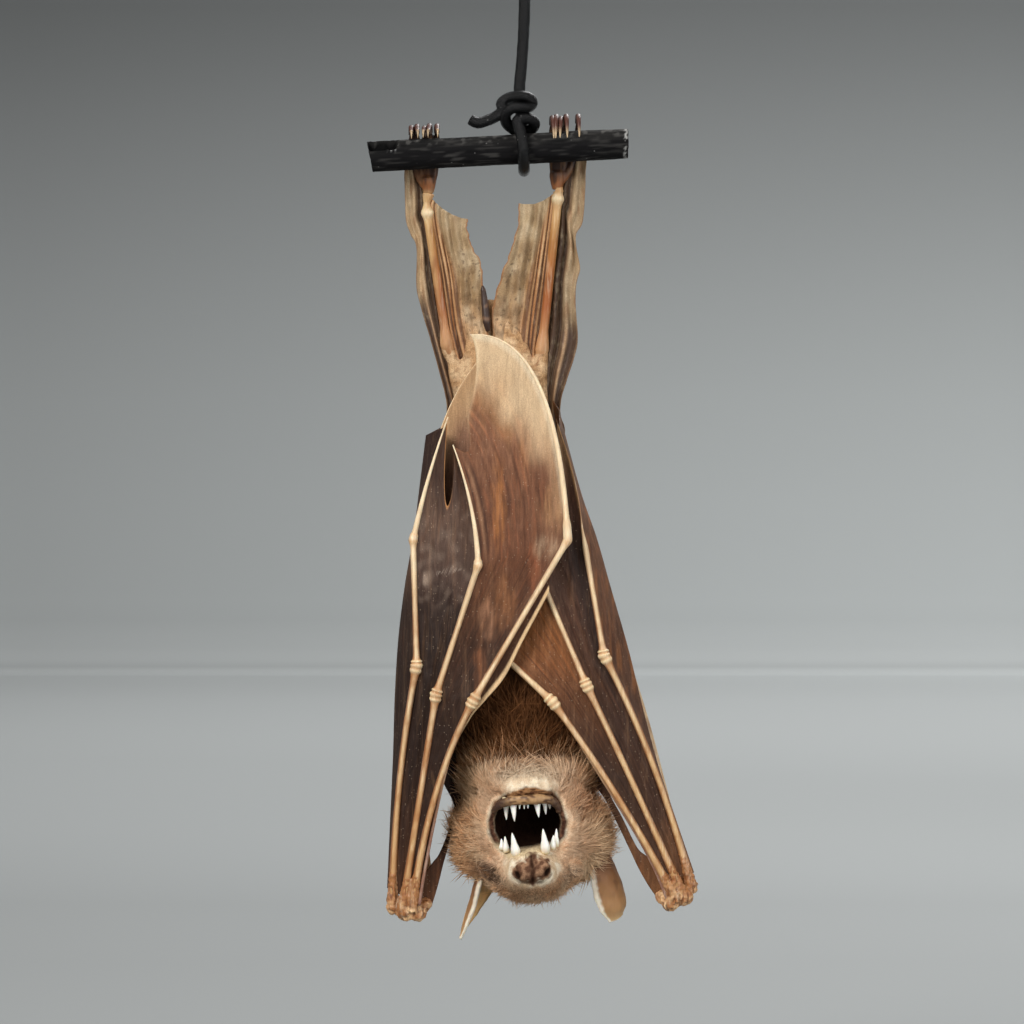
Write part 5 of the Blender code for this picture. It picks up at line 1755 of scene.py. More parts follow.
def pelage(place: Point) -> Color:
    """The colour of the coat, and of the skin below it, at a place on the body."""
    x, y, z = place
    brown = blend(tone(104, 66, 38), tone(142, 94, 56), ease(-0.3, 0.5, ripple(place, 5.0, 1.0)))
    color = blend(brown, tone(122, 80, 50), ease(-180, -174, z) * ease(9.0, 5.5, y))
    color = painted(color, ((132, 92, 58), ease(6.0, 10.0, y)))
    face = ease(THROAT_Z, -183.0, z) * ease(9.0, -3.0, y)
    tan = blend(tone(198, 152, 110), tone(238, 204, 164), ease(-0.35, 0.4, ripple(place, 3.6, 3.0)))
    color = blend(color, tan, face)
    pale = blend(tone(222, 184, 150), tone(240, 208, 176), ease(-0.3, 0.3, ripple(place, 2.4, 8.0)))
    color = blend(
        color, pale,
        0.75 * face * ease(-2.0, -8.0, y) * ease(12.5, 8.0, abs(x - FACE_X)) * ease(-205, -199, z)
    )
    color = painted(
        color,
        ((112, 70, 42), 0.75 * ease(5.5, 2.0, math.dist((x, z), (13.6, -186.0))) * ease(4.0, -2.0, y)),
        ((132, 104, 82), 0.7 * ease(-200.0, -204.0, z)),
    )
    # Painted shade in the hollow round each eye, stronger on the left.
    for side, (ex, _, ez) in EYES:
        out = (x - ex) * -side.sign
        along_lid, across_lid = out - (z - ez + 0.8), out + z - ez + 0.8
        dark = ease(1.35, 0.55, math.hypot(along_lid / 4.6, across_lid / 2.3)) * ease(0.0, -3.0, y)
        color = painted(color, ((60, 42, 34), (0.9 if side is Side.LEFT else 0.55) * dark))
    color = painted(
        color,
        ((140, 96, 60), 0.5 * ease(0.1, 0.6, ripple(place, 2.0, 12.0)) * face),
        ((250, 228, 198), 0.9 * chin_share(place)),
    )
    crotch = ease(-124.0, -108.0, z)
    bare = blend(tone(196, 156, 114), tone(222, 188, 148), ease(-0.3, 0.3, ripple(place, 2.6, 5.0)))
    return blend(color, bare, crotch * ease(9.0, 5.0, y))


def nose_share(place: Point) -> float:
    """1 on the nose's bare brown pads and the ridge between them, 0 off them."""
    x, y, z = place
    if y > -14.8 or z > -194.0:
        return 0.0
    pads = min(math.hypot(x - px, (z - pz) / 1.15) for px, pz in (LEFT_NOSE_PAD, RIGHT_NOSE_PAD))
    bridge = math.hypot((x - NOSE_X) / 0.85, (z + 198.4) / 1.75)
    return ease(2.25, 1.55, min(pads, bridge) + 0.5 * ripple(place, 0.9, 7.0))


def nostril_distance(aside: float, above: float, nostril_x: float) -> float:
    """How far a point lies from a nostril's slanting slit, from where it is beside and above its middle."""
    return math.hypot(aside - 0.4 * above * math.copysign(1, nostril_x - NOSE_X), above * 0.55)


def chin_share(place: Point) -> float:
    """1 on the cream patch of the chin, 0 away from it."""
    x, y, z = place
    return ease(1.35, 0.7, math.hypot((x - 1.6) / 5.2, (z + 182.0) / 2.2)) * ease(-5.0, -8.0, y)


def bare_share(place: Point) -> float:
    """1 where the skin is bare: the chin, lips, muzzle and the top of the belly; 0 under the coat."""
    x, y, z = place
    if z > -112.0:
        return ease(-116.0, -108.0, z) * ease(10.0, 6.0, y)
    if y > LIPS_BACK_Y or z > THROAT_Z:
        return 0.0
    chin = 0.62 * chin_share(place)
    muzzle = (
        ease(1.15, 0.85, math.dist((x / 5.6, z / 4.2), (2.2 / 5.6, -198.0 / 4.2))) * ease(-11.0, -13.0, y)
    )
    return max(ease(1.3, 0.6, rim_distance(x, z)), chin, muzzle)


@dataclass(frozen=True)
class Body:
    """Trunk, neck, head, jaw, thighs and upper arms under one skin, with mouth, nose and lids."""

    coat: float = 0.9
    voxel: float = 0.36
    trunk: tuple = (
        (-6.0, 6.4, -85.6, 2.4, 1.0), (-5.4, 6.6, -92.0, 6.4, 1.9), (-4.6, 6.2, -98.5, 8.2, 3.6),
        (-3.2, 5.5, -112.0, 10.2, 8.8), (-1.7, 4.8, -127.0, 12.5, 10.6), (-0.2, 4.3, -149.0, 14.3, 12.0),
        (0.4, 4.3, -164.0, 14.4, 12.1), (0.8, 4.5, -173.0, 13.6, 11.3), (0.9, 4.4, -180.0, 14.0, 10.8),
        (1.4, 4.2, -188.0, 13.6, 10.0), (2.0, 4.2, -194.0, 9.0, 7.0),
    )
    skull: tuple = (
        (2.0, -10.4, -194.4, 7.4, 6.4), (2.0, -9.5, -193.6, 9.2, 8.6), (2.0, -6.0, -193.2, 12.7, 10.9),
        (2.0, -1.5, -193.0, 15.2, 12.4), (2.0, 3.5, -192.8, 16.2, 12.8), (2.0, 8.5, -192.2, 14.6, 12.0),
        (2.0, 12.5, -191.0, 10.4, 9.4), (2.0, 15.0, -190.0, 5.0, 5.0),
    )
    snout: tuple = (
        (2.2, -17.0, -199.2, 2.6, 1.6), (2.2, -16.0, -199.2, 4.6, 3.3), (2.1, -13.0, -199.4, 6.2, 4.6),
        (2.0, -9.0, -199.0, 8.4, 6.3), (2.0, -4.0, -197.5, 10.4, 8.2),
    )
    jaw: tuple = (
        (1.4, -13.7, -182.9, 2.8, 1.5), (1.4, -12.6, -182.8, 4.8, 2.6), (1.6, -8.0, -182.7, 7.6, 3.8),
        (1.8, -3.0, -182.4, 10.2, 5.0), (2.0, 2.0, -182.6, 11.2, 5.4),
    )
    nose: tuple = (((0.2, -17.2, -199.1), (1.75, 1.6, 1.9)), ((4.2, -17.2, -198.5), (1.75, 1.6, 1.9)),
                   ((2.2, -16.9, -199.2), (1.9, 1.5, 1.7)), ((2.2, -16.4, -197.0), (1.5, 1.2, 1.8)))

    lip: tuple[Point, ...] = (
        (-5.5, -10.4, -187.6), (-4.4, -11.6, -186.4), (-2.4, -12.8, -185.5), (0.6, -13.4, -185.1),
        (3.2, -13.3, -185.0), (5.3, -12.2, -185.1), (6.8, -11.0, -186.1), (7.6, -10.0, -187.8),
    )

    def forms(self) -> list[bmesh.types.BMesh]:
        """The closed forms that are melted into one."""
        coat = self.coat
        parts = [
            loft_of(self.trunk, False, inset=coat, rows=90), loft_of(self.skull, True, inset=coat),
            loft_of(self.snout, True, inset=0.25), loft_of(self.jaw, True, inset=0.3),
            ball_of((-5.0, -7.6, -189.0), (3.4, 3.0, 6.0)), ball_of((8.9, -7.6, -189.0), (3.4, 3.0, 6.0)),
        ]
        parts += [ball_of(*form) for form in self.nose]
        limbs = [(leg.knee, leg.hip, (-2.0, 6.0, -124.0), 0.5, (1.3, 2.1, 3.0)) for leg in LEGS]
        limbs += [
            (wing.forearm[-1], wing.shoulder, (0.4, 6.0, -168.0), 0.4, (1.2, 1.8, 2.6)) for wing in WINGS
        ]
        for bend, root, middle, reach, widths in limbs:
            path = even((bend, blend(bend, root, 0.5), root, blend(root, middle, reach)), 24)
            parts.append(tube_of(path, [float(np.interp(i, (0, 12, 23), widths)) for i in range(24)], 20))
        return parts

    def mouth(self) -> bmesh.types.BMesh:
        """The hollow of the open mouth."""
        center = (1.3, -189.8)
        rim = [(x, 0.0, z) for x, z in MOUTH_RIM]
        steps = (
            (-22.0, 1.0), (-16.0, 0.98), (-12.0, 0.93), (-8.0, 0.9), (-4.0, 0.78), (-1.5, 0.5), (-0.6, 0.15)
        )

        def surface(u: float, v: float) -> Point:
            """The hollow's wall, with u round it and v inwards."""
            y, share = along(steps, v)
            x, _, z = along(rim + rim[:1], u)
            return (center[0] + (x - center[0]) * share, y, center[1] + (z - center[1]) * share)

        return cloth_of(surface, 48, 30, wrap=True, capped=True)

    def sculpt(self, bm: bmesh.types.BMesh) -> None:
        """Lips, chin, muzzle, nostrils, lids and wrinkles, by moving the skin's points."""
        middles = [(face, face.calc_center_median()) for face in bm.faces]
        front = [face for face, middle in middles if middle.y < LIPS_BACK_Y * MM and middle.z < THROAT_Z * MM]
        edges = list({edge for face in front for edge in face.edges})
        bmesh.ops.subdivide_edges(bm, edges=edges, cuts=1, use_grid_fill=True, smooth=0.0)
        relax(bm, [v for v in bm.verts if v.co.y < -4.0 * MM and v.co.z < -175.0 * MM])
        bm.normal_update()
        moves = [self.lift(tuple(vertex.co / MM), vertex.normal) for vertex in bm.verts]
        for vertex, lift in zip(bm.verts, moves):
            vertex.co += lift * MM

    def lift(self, place: Point, normal: Vector) -> Vector:
        """How far, and which way, one point of the skin is moved."""
        x, y, z = place
        push = 0.0
        if z > -118.0:
            fold = ripple((x * 1.1, y * 0.5, z * 0.28), 1.7, 3.0)
            push += 0.42 * fold * ease(-120.0, -112.0, z)
        if z > THROAT_Z:
            return normal * (push + 0.12 * ripple(place, 2.2, 2.0))
        push += 0.10 * ripple(place, 1.8, 6.0)
        if y < -4.0:
            rim = rim_distance(x, z)
            push += 0.30 * bell(rim, 0.25, 0.5)
            push += 0.22 * ripple((x * 1.3, y, z * 1.3), 0.7, 5.0) * ease(1.6, 0.3, abs(rim))
            lower = ease(-186.6, -184.6, z) * ease(-3.6, -2.2, x) * ease(6.6, 5.2, x)
            push += 0.34 * lower * ripple((x * 0.9, 0.0, z * 2.6), 0.7, 8.0) * ease(1.8, 0.4, abs(rim + 0.2))
            groove = bell(x, NOSE_X, 0.34) * ease(-202.5, -200.0, z) * ease(-194.5, -196.5, z)
            push -= 0.55 * groove * ease(-13.0, -16.0, y)
            for nx, nz in NOSTRILS:
                push -= 0.9 * bell(nostril_distance(x - nx, z - nz, nx), 0.0, 0.5) * ease(-16.0, -17.0, y)
            push += 0.10 * nose_share(place) * ripple(place, 0.6, 4.0)
            push -= 0.3 * bell(z, -201.2, 0.35) * ease(2.6, 1.4, abs(x - NOSE_X)) * ease(-15.0, -16.5, y)
        move = normal * push
        for side, eye in EYES:
            if math.dist(place, eye) < 4.4:
                move = move + self.lid(place, eye, side.sign)
        return move

    def lid(self, place: Point, eye: Point, side: float) -> Vector:
        """The move that lays the skin over an eye as two lids with a slit between them."""
        offset = Vector(place) - Vector(eye)
        gaze = Vector((side * 0.66, -0.70, -0.27)).normalized()
        run = Vector((side * 0.35, -0.25, 0.9)).cross(gaze).normalized()
        rise = gaze.cross(run).normalized()
        across, up, height = offset.dot(run), offset.dot(rise), offset.dot(gaze)
        if height < -1.5:
            return Vector((0.0, 0.0, 0.0))
        spread = math.hypot(across, up)
        ball = EYE_RADIUS + 0.34
        dome = math.sqrt(max(ball * ball - spread * spread, 0.0))
        gape = math.hypot(across / 1.25, up / 0.42)
        dome -= 0.9 * ease(1.0, 0.72, gape)
        dome += 0.14 * bell(gape, 1.35, 0.3)
        dome -= 0.16 * bell(spread, 1.75, 0.2)
        return gaze * (dome - height) * ease(ball * 1.45, ball * 0.8, spread)

    def shade(self, place: Point) -> Color:
        """The skin's colour: the coat's where it is furred, and that of bare skin elsewhere."""
        x, y, z = place
        color = pelage(place)
        if z > THROAT_Z or y > FACE_BACK_Y:
            low = ease(-116.0, -106.0, z)
            color = painted(color, ((118, 86, 58), 0.6 * low * ease(0.3, 0.5, ripple(place, 0.6, 3.0))))
            rings = (
                math.sin(4.2 * math.dist((x, z), (1.8, -97.4)))
                * ease(4.6, 2.4, math.dist((x, z), (1.8, -97.4)))
            )
            color = painted(color, ((170, 116, 84), 0.35 * ease(0.2, 0.9, rings)))
            creases = ease(0.12, 0.4, ripple((x * 0.8, y, z * 2.4), 1.1, 14.0))
            return blend(color, tone(140, 102, 70), 0.5 * low * creases)
        bare = bare_share(place)
        cream = blend(tone(216, 188, 154), tone(248, 232, 204), ease(-0.3, 0.3, ripple(place, 1.8, 9.0)))
        cream = painted(
            cream, ((170, 128, 92), 0.4 * ease(0.34, 0.5, ripple(place, 0.8, 3.0)) * (1 - chin_share(place)))
        )
        color = blend(color, cream, bare)
        rim = rim_distance(x, z)
        lip = bell(rim, 0.02, 0.62)
        lower = ease(-187.0, -184.8, z) * ease(-4.0, -1.6, x) * ease(6.6, 4.6, x)
        lip_color = blend(tone(64, 42, 34), tone(104, 72, 56), ease(-0.2, 0.4, ripple(place, 0.8, 3.0)))
        crease = blend(
            tone(150, 108, 72), tone(74, 46, 30), ease(-0.1, 0.3, ripple((x * 0.7, 0.0, z * 3.0), 0.8, 8.0))
        )
        lip_color = blend(lip_color, crease, lower)
        lip_color = painted(lip_color, ((228, 204, 164), 0.9 * ease(-193.4, -195.0, z)))
        if y < LIPS_BACK_Y:
            arch = 0.5 + 1.2 * bell(x, 1.4, 3.2)
            below = 0.8 * lower * ease(arch, 0.6 * arch, rim + 0.3 * ripple(place, 1.2, 2.0))
            color = blend(color, lip_color, min(1.0, 1.3 * max(lip, below)))
        # Painted shade: near black inside the open mouth, deepest towards its back.
        inside = ease(-0.5, -0.9, rim) * ease(-15.5, -13.5, y)
        color = painted(color, ((24, 13, 10), max(inside, ease(-0.2, -0.8, rim) * ease(-12.0, -9.0, y))))
        palate = ease(-0.3, -0.8, rim) * ease(-192.6, -194.4, z) * ease(-7.0, -11.0, y)
        color = painted(color, ((186, 152, 108), 0.85 * palate))
        nose_color = blend(tone(100, 70, 54), tone(164, 126, 98), ease(-0.3, 0.45, ripple(place, 0.9, 2.0)))
        color = blend(color, nose_color, nose_share(place))
        groove = (
            bell(x, NOSE_X + 0.2 * math.sin(z), 0.45) * ease(-202.0, -200.8, z) * ease(-194.9, -196.4, z)
            * ease(-14.0, -15.4, y)
        )
        color = painted(color, ((48, 30, 24), 0.85 * groove))
        under = (
            bell(z + 201.3 - 0.12 * (x - NOSE_X) ** 2 * 0.3, 0.0, 0.4) * ease(3.0, 1.6, abs(x - NOSE_X))
            * ease(-14.6, -16.0, y)
        )
        color = painted(color, ((54, 34, 26), 0.8 * under))
        for nx, nz in NOSTRILS:
            slit = nostril_distance(x - nx, z - nz, nx)
            color = painted(color, ((22, 14, 12), ease(0.62, 0.3, slit) * ease(-15.6, -16.6, y)))
        return color

    def build(self) -> bpy.types.Object:
        """The skin, with its eyes, teeth and the inside of the mouth."""
        skin = fuse("body_skin", self.forms(), self.voxel, 3, self.shade, PELT, self.mouth(), self.sculpt)
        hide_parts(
            "head", "lower_jaw", "neck", "trunk", "nose", "thigh_left", "thigh_right",
            "upper_arm_left", "upper_arm_right"
        )
        self.build_tail()
        self.build_eyes()
        self.build_teeth()
        return skin

    def build_tail(self) -> None:
        """The stub of a tail."""
        path = even(((-7.7, 4.7, -82.9), (-7.3, 4.6, -86.0), (-6.9, 4.0, -90.0), (-6.6, 4.4, -92.0)), 40)
        widths = taper(40, (0, 0.08, 0.4, 0.8, 1), (0.2, 0.5, 0.72, 0.8, 0.5))
        radii = [width * (1 + 0.1 * ripple(point, 0.8)) for width, point in zip(widths, path)]

        def shade(u: float, v: float, place: Point) -> Color:
            """Dark and paler brown in patches."""
            return blend(tone(58, 40, 32), tone(120, 88, 64), ease(0.0, 0.5, ripple(place, 1.2)))

        finish_mesh("tail_stub", tube_of(path, radii, 14, shade), BARE_SKIN, "tail")

    def build_eyes(self) -> None:
        """The dark eyes behind their lids."""
        for side, center in EYES:
            finish_mesh(f"eyeball_{side}", ball_of(center, (EYE_RADIUS,) * 3), EYE, f"eye_{side}")

    def build_teeth(self) -> None:
        """Canines, cheek teeth and incisors of both jaws, and the lip in front of the lower ones."""
        self.build_lip()
        for name, rows in (("upper", UPPER_TEETH), ("lower", LOWER_TEETH)):
            finish_mesh(f"{name}_teeth", join([self.tooth(*row) for row in rows]), TOOTH)

    def build_lip(self) -> None:
        """The wrinkled lower lip, an arch in front of the lower teeth's roots."""
        path = even(self.lip, 90)
        radii = [
            1.05 * math.sin(math.pi * (0.1 + 0.8 * i / 89)) ** 0.6
            * (1 + 0.1 * ripple((i * 0.22, 0.0, 0.0), 1.0))
            for i in range(90)
        ]

        def shade(u: float, v: float, place: Point) -> Color:
            """Tan and wrinkled in the middle, dark towards the corners of the mouth."""
            crease = ease(-0.1, 0.35, ripple((place[0] * 0.6, 0.0, place[2] * 3.2), 0.8, 8.0))
            color = blend(tone(182, 142, 98), tone(92, 60, 38), crease)
            return blend(color, tone(66, 42, 32), 0.85 * max(ease(0.34, 0.2, v), ease(0.68, 0.84, v)))

        bm = tube_of(path, radii, 18, shade)
        bm.normal_update()
        for vertex in bm.verts:
            x, _, z = vertex.co / MM
            vertex.co += vertex.normal * (0.14 * ripple((x * 0.7, 0.0, z * 3.0), 0.7, 8.0) * MM)
        finish_mesh("lower_lip", bm, BARE_SKIN)

    def tooth(self, root: Point, tip: Point, width: float, curve: float) -> bmesh.types.BMesh:
        """One tooth as a bent cone with a rounded point."""
        bend = tuple((a + b) / 2 + c for a, b, c in zip(root, tip, (0.0, -curve, 0.0)))
        path = [bow(root, bend, tip, i / 15) for i in range(16)]
        radii = [
            width * (0.86 + 0.2 * math.sin(math.pi * min(i / 8, 1.0))) * (1 - (i / 15) ** 1.7) ** 0.8
            + 0.05 for i in range(16)
        ]

        def shade(u: float, v: float, place: Point) -> Color:
            """Ivory, a little yellow at the root."""
            return blend(tone(226, 206, 164), tone(252, 250, 242), ease(0.0, 0.35, v))

        return tube_of(path, radii, 14, shade)


UPPER_TEETH = (
    ((-0.9, -13.6, -196.2), (-1.8, -14.5, -191.6), 0.92, 0.5),
    ((4.9, -13.6, -195.6), (4.3, -14.5, -190.8), 0.92, 0.5),
    ((-2.9, -12.0, -195.6), (-3.2, -12.2, -192.4), 0.62, 0.1),
    ((-3.7, -10.6, -195.2), (-3.9, -10.8, -193.0), 0.6, 0.1),
    ((6.2, -12.0, -195.0), (6.4, -12.2, -192.2), 0.62, 0.1),
    ((6.9, -10.6, -194.6), (7.0, -10.8, -191.0), 0.6, 0.1),
)
LOWER_TEETH = (
    ((-1.7, -11.6, -184.4), (-1.3, -12.5, -189.5), 0.8, 0.4),
    ((2.9, -11.6, -184.2), (3.5, -12.5, -188.7), 0.8, 0.4),
    ((-3.1, -10.4, -184.8), (-2.9, -10.8, -189.3), 0.68, 0.1),
    ((4.5, -10.4, -184.4), (4.9, -10.8, -188.2), 0.62, 0.1),
    ((5.5, -9.4, -184.6), (5.7, -9.8, -187.2), 0.6, 0.1),
    ((-0.3, -12.4, -184.6), (-0.3, -12.9, -187.0), 0.34, 0.1),
    ((0.6, -12.5, -184.6), (0.6, -13.0, -187.0), 0.34, 0.1),
    ((1.3, -12.5, -184.6), (1.35, -13.0, -186.9), 0.34, 0.1),
)


@dataclass(frozen=True)
class Ear:
    """One thin, dried ear: a leaf rolled round its length, with pale rims."""

    side: Side
    root: Point
    tip: Point
    across: tuple[float, float]
    outward: tuple[float, float]
    widths: tuple[float, ...] = (3.0, 3.9, 4.3, 4.5, 4.5, 4.3, 3.6, 0.5)
    cup: float = 2.6
    thickness: float = 0.45
    skew: float = 0.0
    bend: float = 0.0

    def surface(self, u: float, v: float) -> Point:
        """The ear's skin, with u across it and v from its root to its tip."""
        center = blend(self.root, self.tip, v + self.skew * (2 * u - 1) * v * v)
        center = (center[0] + self.bend * math.sin(math.pi * v), center[1], center[2])
        width = along([(w, 0.0, 0.0) for w in self.widths], v)[0]
        s = 2 * u - 1
        depth = self.cup * (1 - s * s) * width / max(self.widths)
        depth += 0.2 * ripple((s * 3, v * 7, 0.0), 1.0, 4.0)
        curl = 0.4 * math.sin(5.0 * v + 1.0) * s
        edge = 0.16 * ripple((v * 22.0, s, 0.0), 1.0, 2.0) * ease(0.7, 1.0, abs(s))
        return tuple(
            c + a * (s * width + edge) + o * (depth + curl)
            for c, a, o in zip(center, (*self.across, 0.0), (*self.outward, 0.0))
        )

    def shade(self, u: float, v: float, place: Point) -> Color:
        """Brown at the root, tan to orange further out, with a cream front rim; the left ear's inner side is
        brightened with painted light.
        """
        s = 2 * u - 1
        color = ramp(
            ((0.0, (92, 58, 36)), (0.3, (118, 76, 46)), (0.55, (150, 106, 66)), (0.85, (176, 132, 86)),
            (1.0, (206, 168, 120))), v
        )
        # Painted light: a glowing orange on the left ear's inner side, which faces away from the lamps.
        if self.side is Side.LEFT:
            color = painted(color, ((255, 206, 136), 0.9 * ease(0.2, 0.5, v) * ease(0.4, 0.0, s)))
        color = painted(
            color,
            ((96, 62, 40), 0.5 * ease(0.1, 0.5, ripple(place, 1.8, 3.0)) * ease(0.95, 0.5, v)),
            ((80, 50, 32), 0.6 * ease(-0.86, -0.98, s)),
        )
        rim = max(s + 0.05 * ripple((v * 20, 0, 0), 1.0), ease(0.93, 1.0, v) * 0.9)
        return blend(color, tone(252, 242, 220), 0.95 * ease(0.80, 0.90, rim) * ease(0.2, 0.4, v))

    def build(self) -> None:
        """The ear in place of its solid."""
        leaf = cloth_of(self.surface, 40, 70, self.shade)
        thicken(finish_mesh(f"ear_leaf_{self.side}", leaf, EAR_SKIN, f"ear_{self.side}"), self.thickness)


EARS = (
    Ear(Side.LEFT, (-4.5, 1.0, -195.5), (-11.9, 1.6, -213.4), (-0.42, -0.91), (-0.91, 0.42),
        widths=(2.8, 3.6, 4.0, 3.9, 3.4, 2.6, 1.6, 0.25), cup=2.9, thickness=0.55, skew=0.03, bend=1.2),
    Ear(Side.RIGHT, (14.6, 1.0, -194.5), (18.8, 2.0, -209.6), (-0.58, -0.81), (0.81, -0.58), skew=0.06,
        widths=(3.0, 3.9, 4.3, 4.6, 4.7, 4.6, 4.2, 2.2)),
)


# ---------------------------------------------------------------- coat


def ease_all(low: float, high: float, values: np.ndarray) -> np.ndarray:
    """The same smooth step as ease, for many values at once."""
    t = np.clip((values - low) / (high - low), 0.0, 1.0)
    return t * t * (3 - 2 * t)


def unit(vectors: np.ndarray) -> np.ndarray:
    """Vectors, one a row, brought to length 1."""
    return vectors / np.maximum(np.linalg.norm(vectors, axis=1, keepdims=True), 1e-9)


CELL_HASH = (73856093, 19349663, 83492791)


def rows_of(items: bpy.types.bpy_prop_collection, key: str, width: int, kind: type = float) -> np.ndarray:
    """One property of every item, as rows of width numbers."""
    values = np.empty(len(items) * width, dtype=kind)
    items.foreach_get(key, values)
    return values.reshape(-1, width)


def mixed(table: np.ndarray, picked: np.ndarray, shares: np.ndarray) -> np.ndarray:
    """The rows of a table at each picked triangle's corners, mixed by their shares."""
    return sum(table[picked[:, k]] * shares[:, k:k + 1] for k in range(3))


def from_mouth(places: np.ndarray, wide: float = 1.0) -> np.ndarray:
    """Each place's distance from the mouth's middle, seen from the front, with x divided by wide."""
    return np.hypot((places[:, 0] - MOUTH_X) / wide, places[:, 2] - MOUTH_Z)


@dataclass
class Coat:
    """The fur: thin bent tufts of solid mesh, rooted in the skin and lying along it."""

    count: int = 84000
    per_piece: int = 12000
    seed: int = 11
    clump: float = 1.3
    gather: float = 0.42
    sunk: float = 0.12
    rings: tuple[float, ...] = (0.0, 0.36, 0.72)

    def density(self, places: np.ndarray) -> np.ndarray:
        """How close together the tufts stand, from each place's x, y and z in millimetres."""
        _, y, z = places.T
        head = ease_all(-174.0, -182.0, z)
        share = 0.28 + 0.72 * head
        share += 0.35 * ease_all(-150.0, -165.0, z) * ease_all(4.0, -2.0, y) * (1 - head)
        share *= 1 + 0.9 * ease_all(2.0, -6.0, y) * head
        share *= 1 - 0.85 * ease_all(-166.0, -158.0, z) * ease_all(2.0, -2.0, y)
        share *= 1 - 0.98 * ease_all(-124.0, -114.0, z) * ease_all(9.0, 5.0, y)
        share *= 1 - 0.8 * ease_all(-104.0, -94.0, z)
        for _, eye in EYES:
            share *= 1 - 0.97 * ease_all(1.9, 1.2, np.linalg.norm(places - np.array(eye), axis=1))
        return share * ease_all(1.10, 1.02, self.girth(places))

    def girth(self, places: np.ndarray) -> np.ndarray:
        """Each place's distance from the trunk's middle line, 1 on the trunk's surface and on the head."""
        x, y, z = places.T
        rows = np.array(sorted(Body.trunk, key=lambda row: row[2]))
        cx, cy, wide, deep = (np.interp(z, rows[:, 2], rows[:, k]) for k in (0, 1, 3, 4))
        return np.where(z > THROAT_Z, np.hypot((x - cx) / wide, (y - cy) / deep), 1.0)

    def lengths(self, places: np.ndarray) -> np.ndarray:
        """The tufts' lengths in millimetres: shortest on the muzzle, longest on cheeks and neck."""
        _, y, z = places.T
        head = ease_all(THROAT_Z, -183.0, z)
        face = 1.0 + 2.7 * ease_all(7.0, 12.5, from_mouth(places, 1.05))
        face = face * (1 - 0.5 * ease_all(-199.0, -203.0, z))
        face = np.where(y > 3.0, 3.0, face)
        face = face * (1 - 0.6 * ease_all(-9.5, -12.5, y))
        for _, eye in EYES:
            away = np.linalg.norm(places - np.array(eye), axis=1)
            face = face * (1 - 0.75 * ease_all(5.0, 2.6, away))
        body = 4.4 - 1.0 * ease_all(0.0, 6.0, y) - 1.8 * ease_all(-130.0, -112.0, z)
        body = body * (1 - 0.65 * ease_all(-168.0, -158.0, z) * ease_all(4.0, 0.0, y))
        return body * (1 - head) + face * head

    def lie(
        self, places: np.ndarray, normals: np.ndarray, rng: np.random.Generator
    ) -> tuple[np.ndarray, np.ndarray]:
        """Which way each tuft starts and which way it bends over.

        Args:
            places: The roots, in millimetres.
            normals: The skin's normals there.
            rng: The source of all chance.

        Returns:
            The first directions and the lie of the coat, one row for each root.
        """
        x, y, z = places.T
        face = (ease_all(-174.0, -184.0, z) * ease_all(8.0, -1.0, y))[:, None]
        radial = unit(np.column_stack([x - 1.8, np.zeros_like(x), z + 193.5 + 0.001]))
        outward = radial * 0.9 + np.array([0.0, 0.5, 0.0]) + np.array([0.0, 0.0, 0.25])
        body = np.column_stack([0.12 * np.sign(x), np.full_like(x, 0.05), np.ones_like(x)])
        flow = outward * face + body * (1 - face)
        swirl = np.column_stack(
            [np.sin(z * 0.9 + 1.7 * np.sin(x * 0.6)), 0.3 * np.sin(x * 0.8),
            np.sin(x * 0.75 + 1.4 * np.sin(z * 0.5))]
        )
        flow = unit(flow) + 0.38 * swirl + rng.normal(0.0, 0.30, places.shape)
        near = ease_all(13.0, 9.0, from_mouth(places))[:, None] * face
        inward = np.minimum(np.sum(flow * radial, axis=1, keepdims=True), 0.0)
        flow = flow - radial * (inward - 0.3) * near
        flow = unit(flow - normals * np.sum(flow * normals, axis=1, keepdims=True))
        lift = 0.26 + 0.12 * face[:, 0] * ease_all(6.0, 10.0, from_mouth(places))
        lift = lift - 0.1 * ease_all(8.0, 12.0, y) - 0.12 * ease_all(11.0, 15.0, np.abs(x - FACE_X))
        lift = lift - 0.14 * ease_all(-168.0, -158.0, z)
        lift = lift * (1 - 0.45 * ease_all(-10.0, -13.0, y)) + rng.normal(0.0, 0.09, len(x))
        lift = np.clip(lift, 0.06, 0.8)[:, None]
        return unit(flow * (1 - lift) + normals * lift), flow

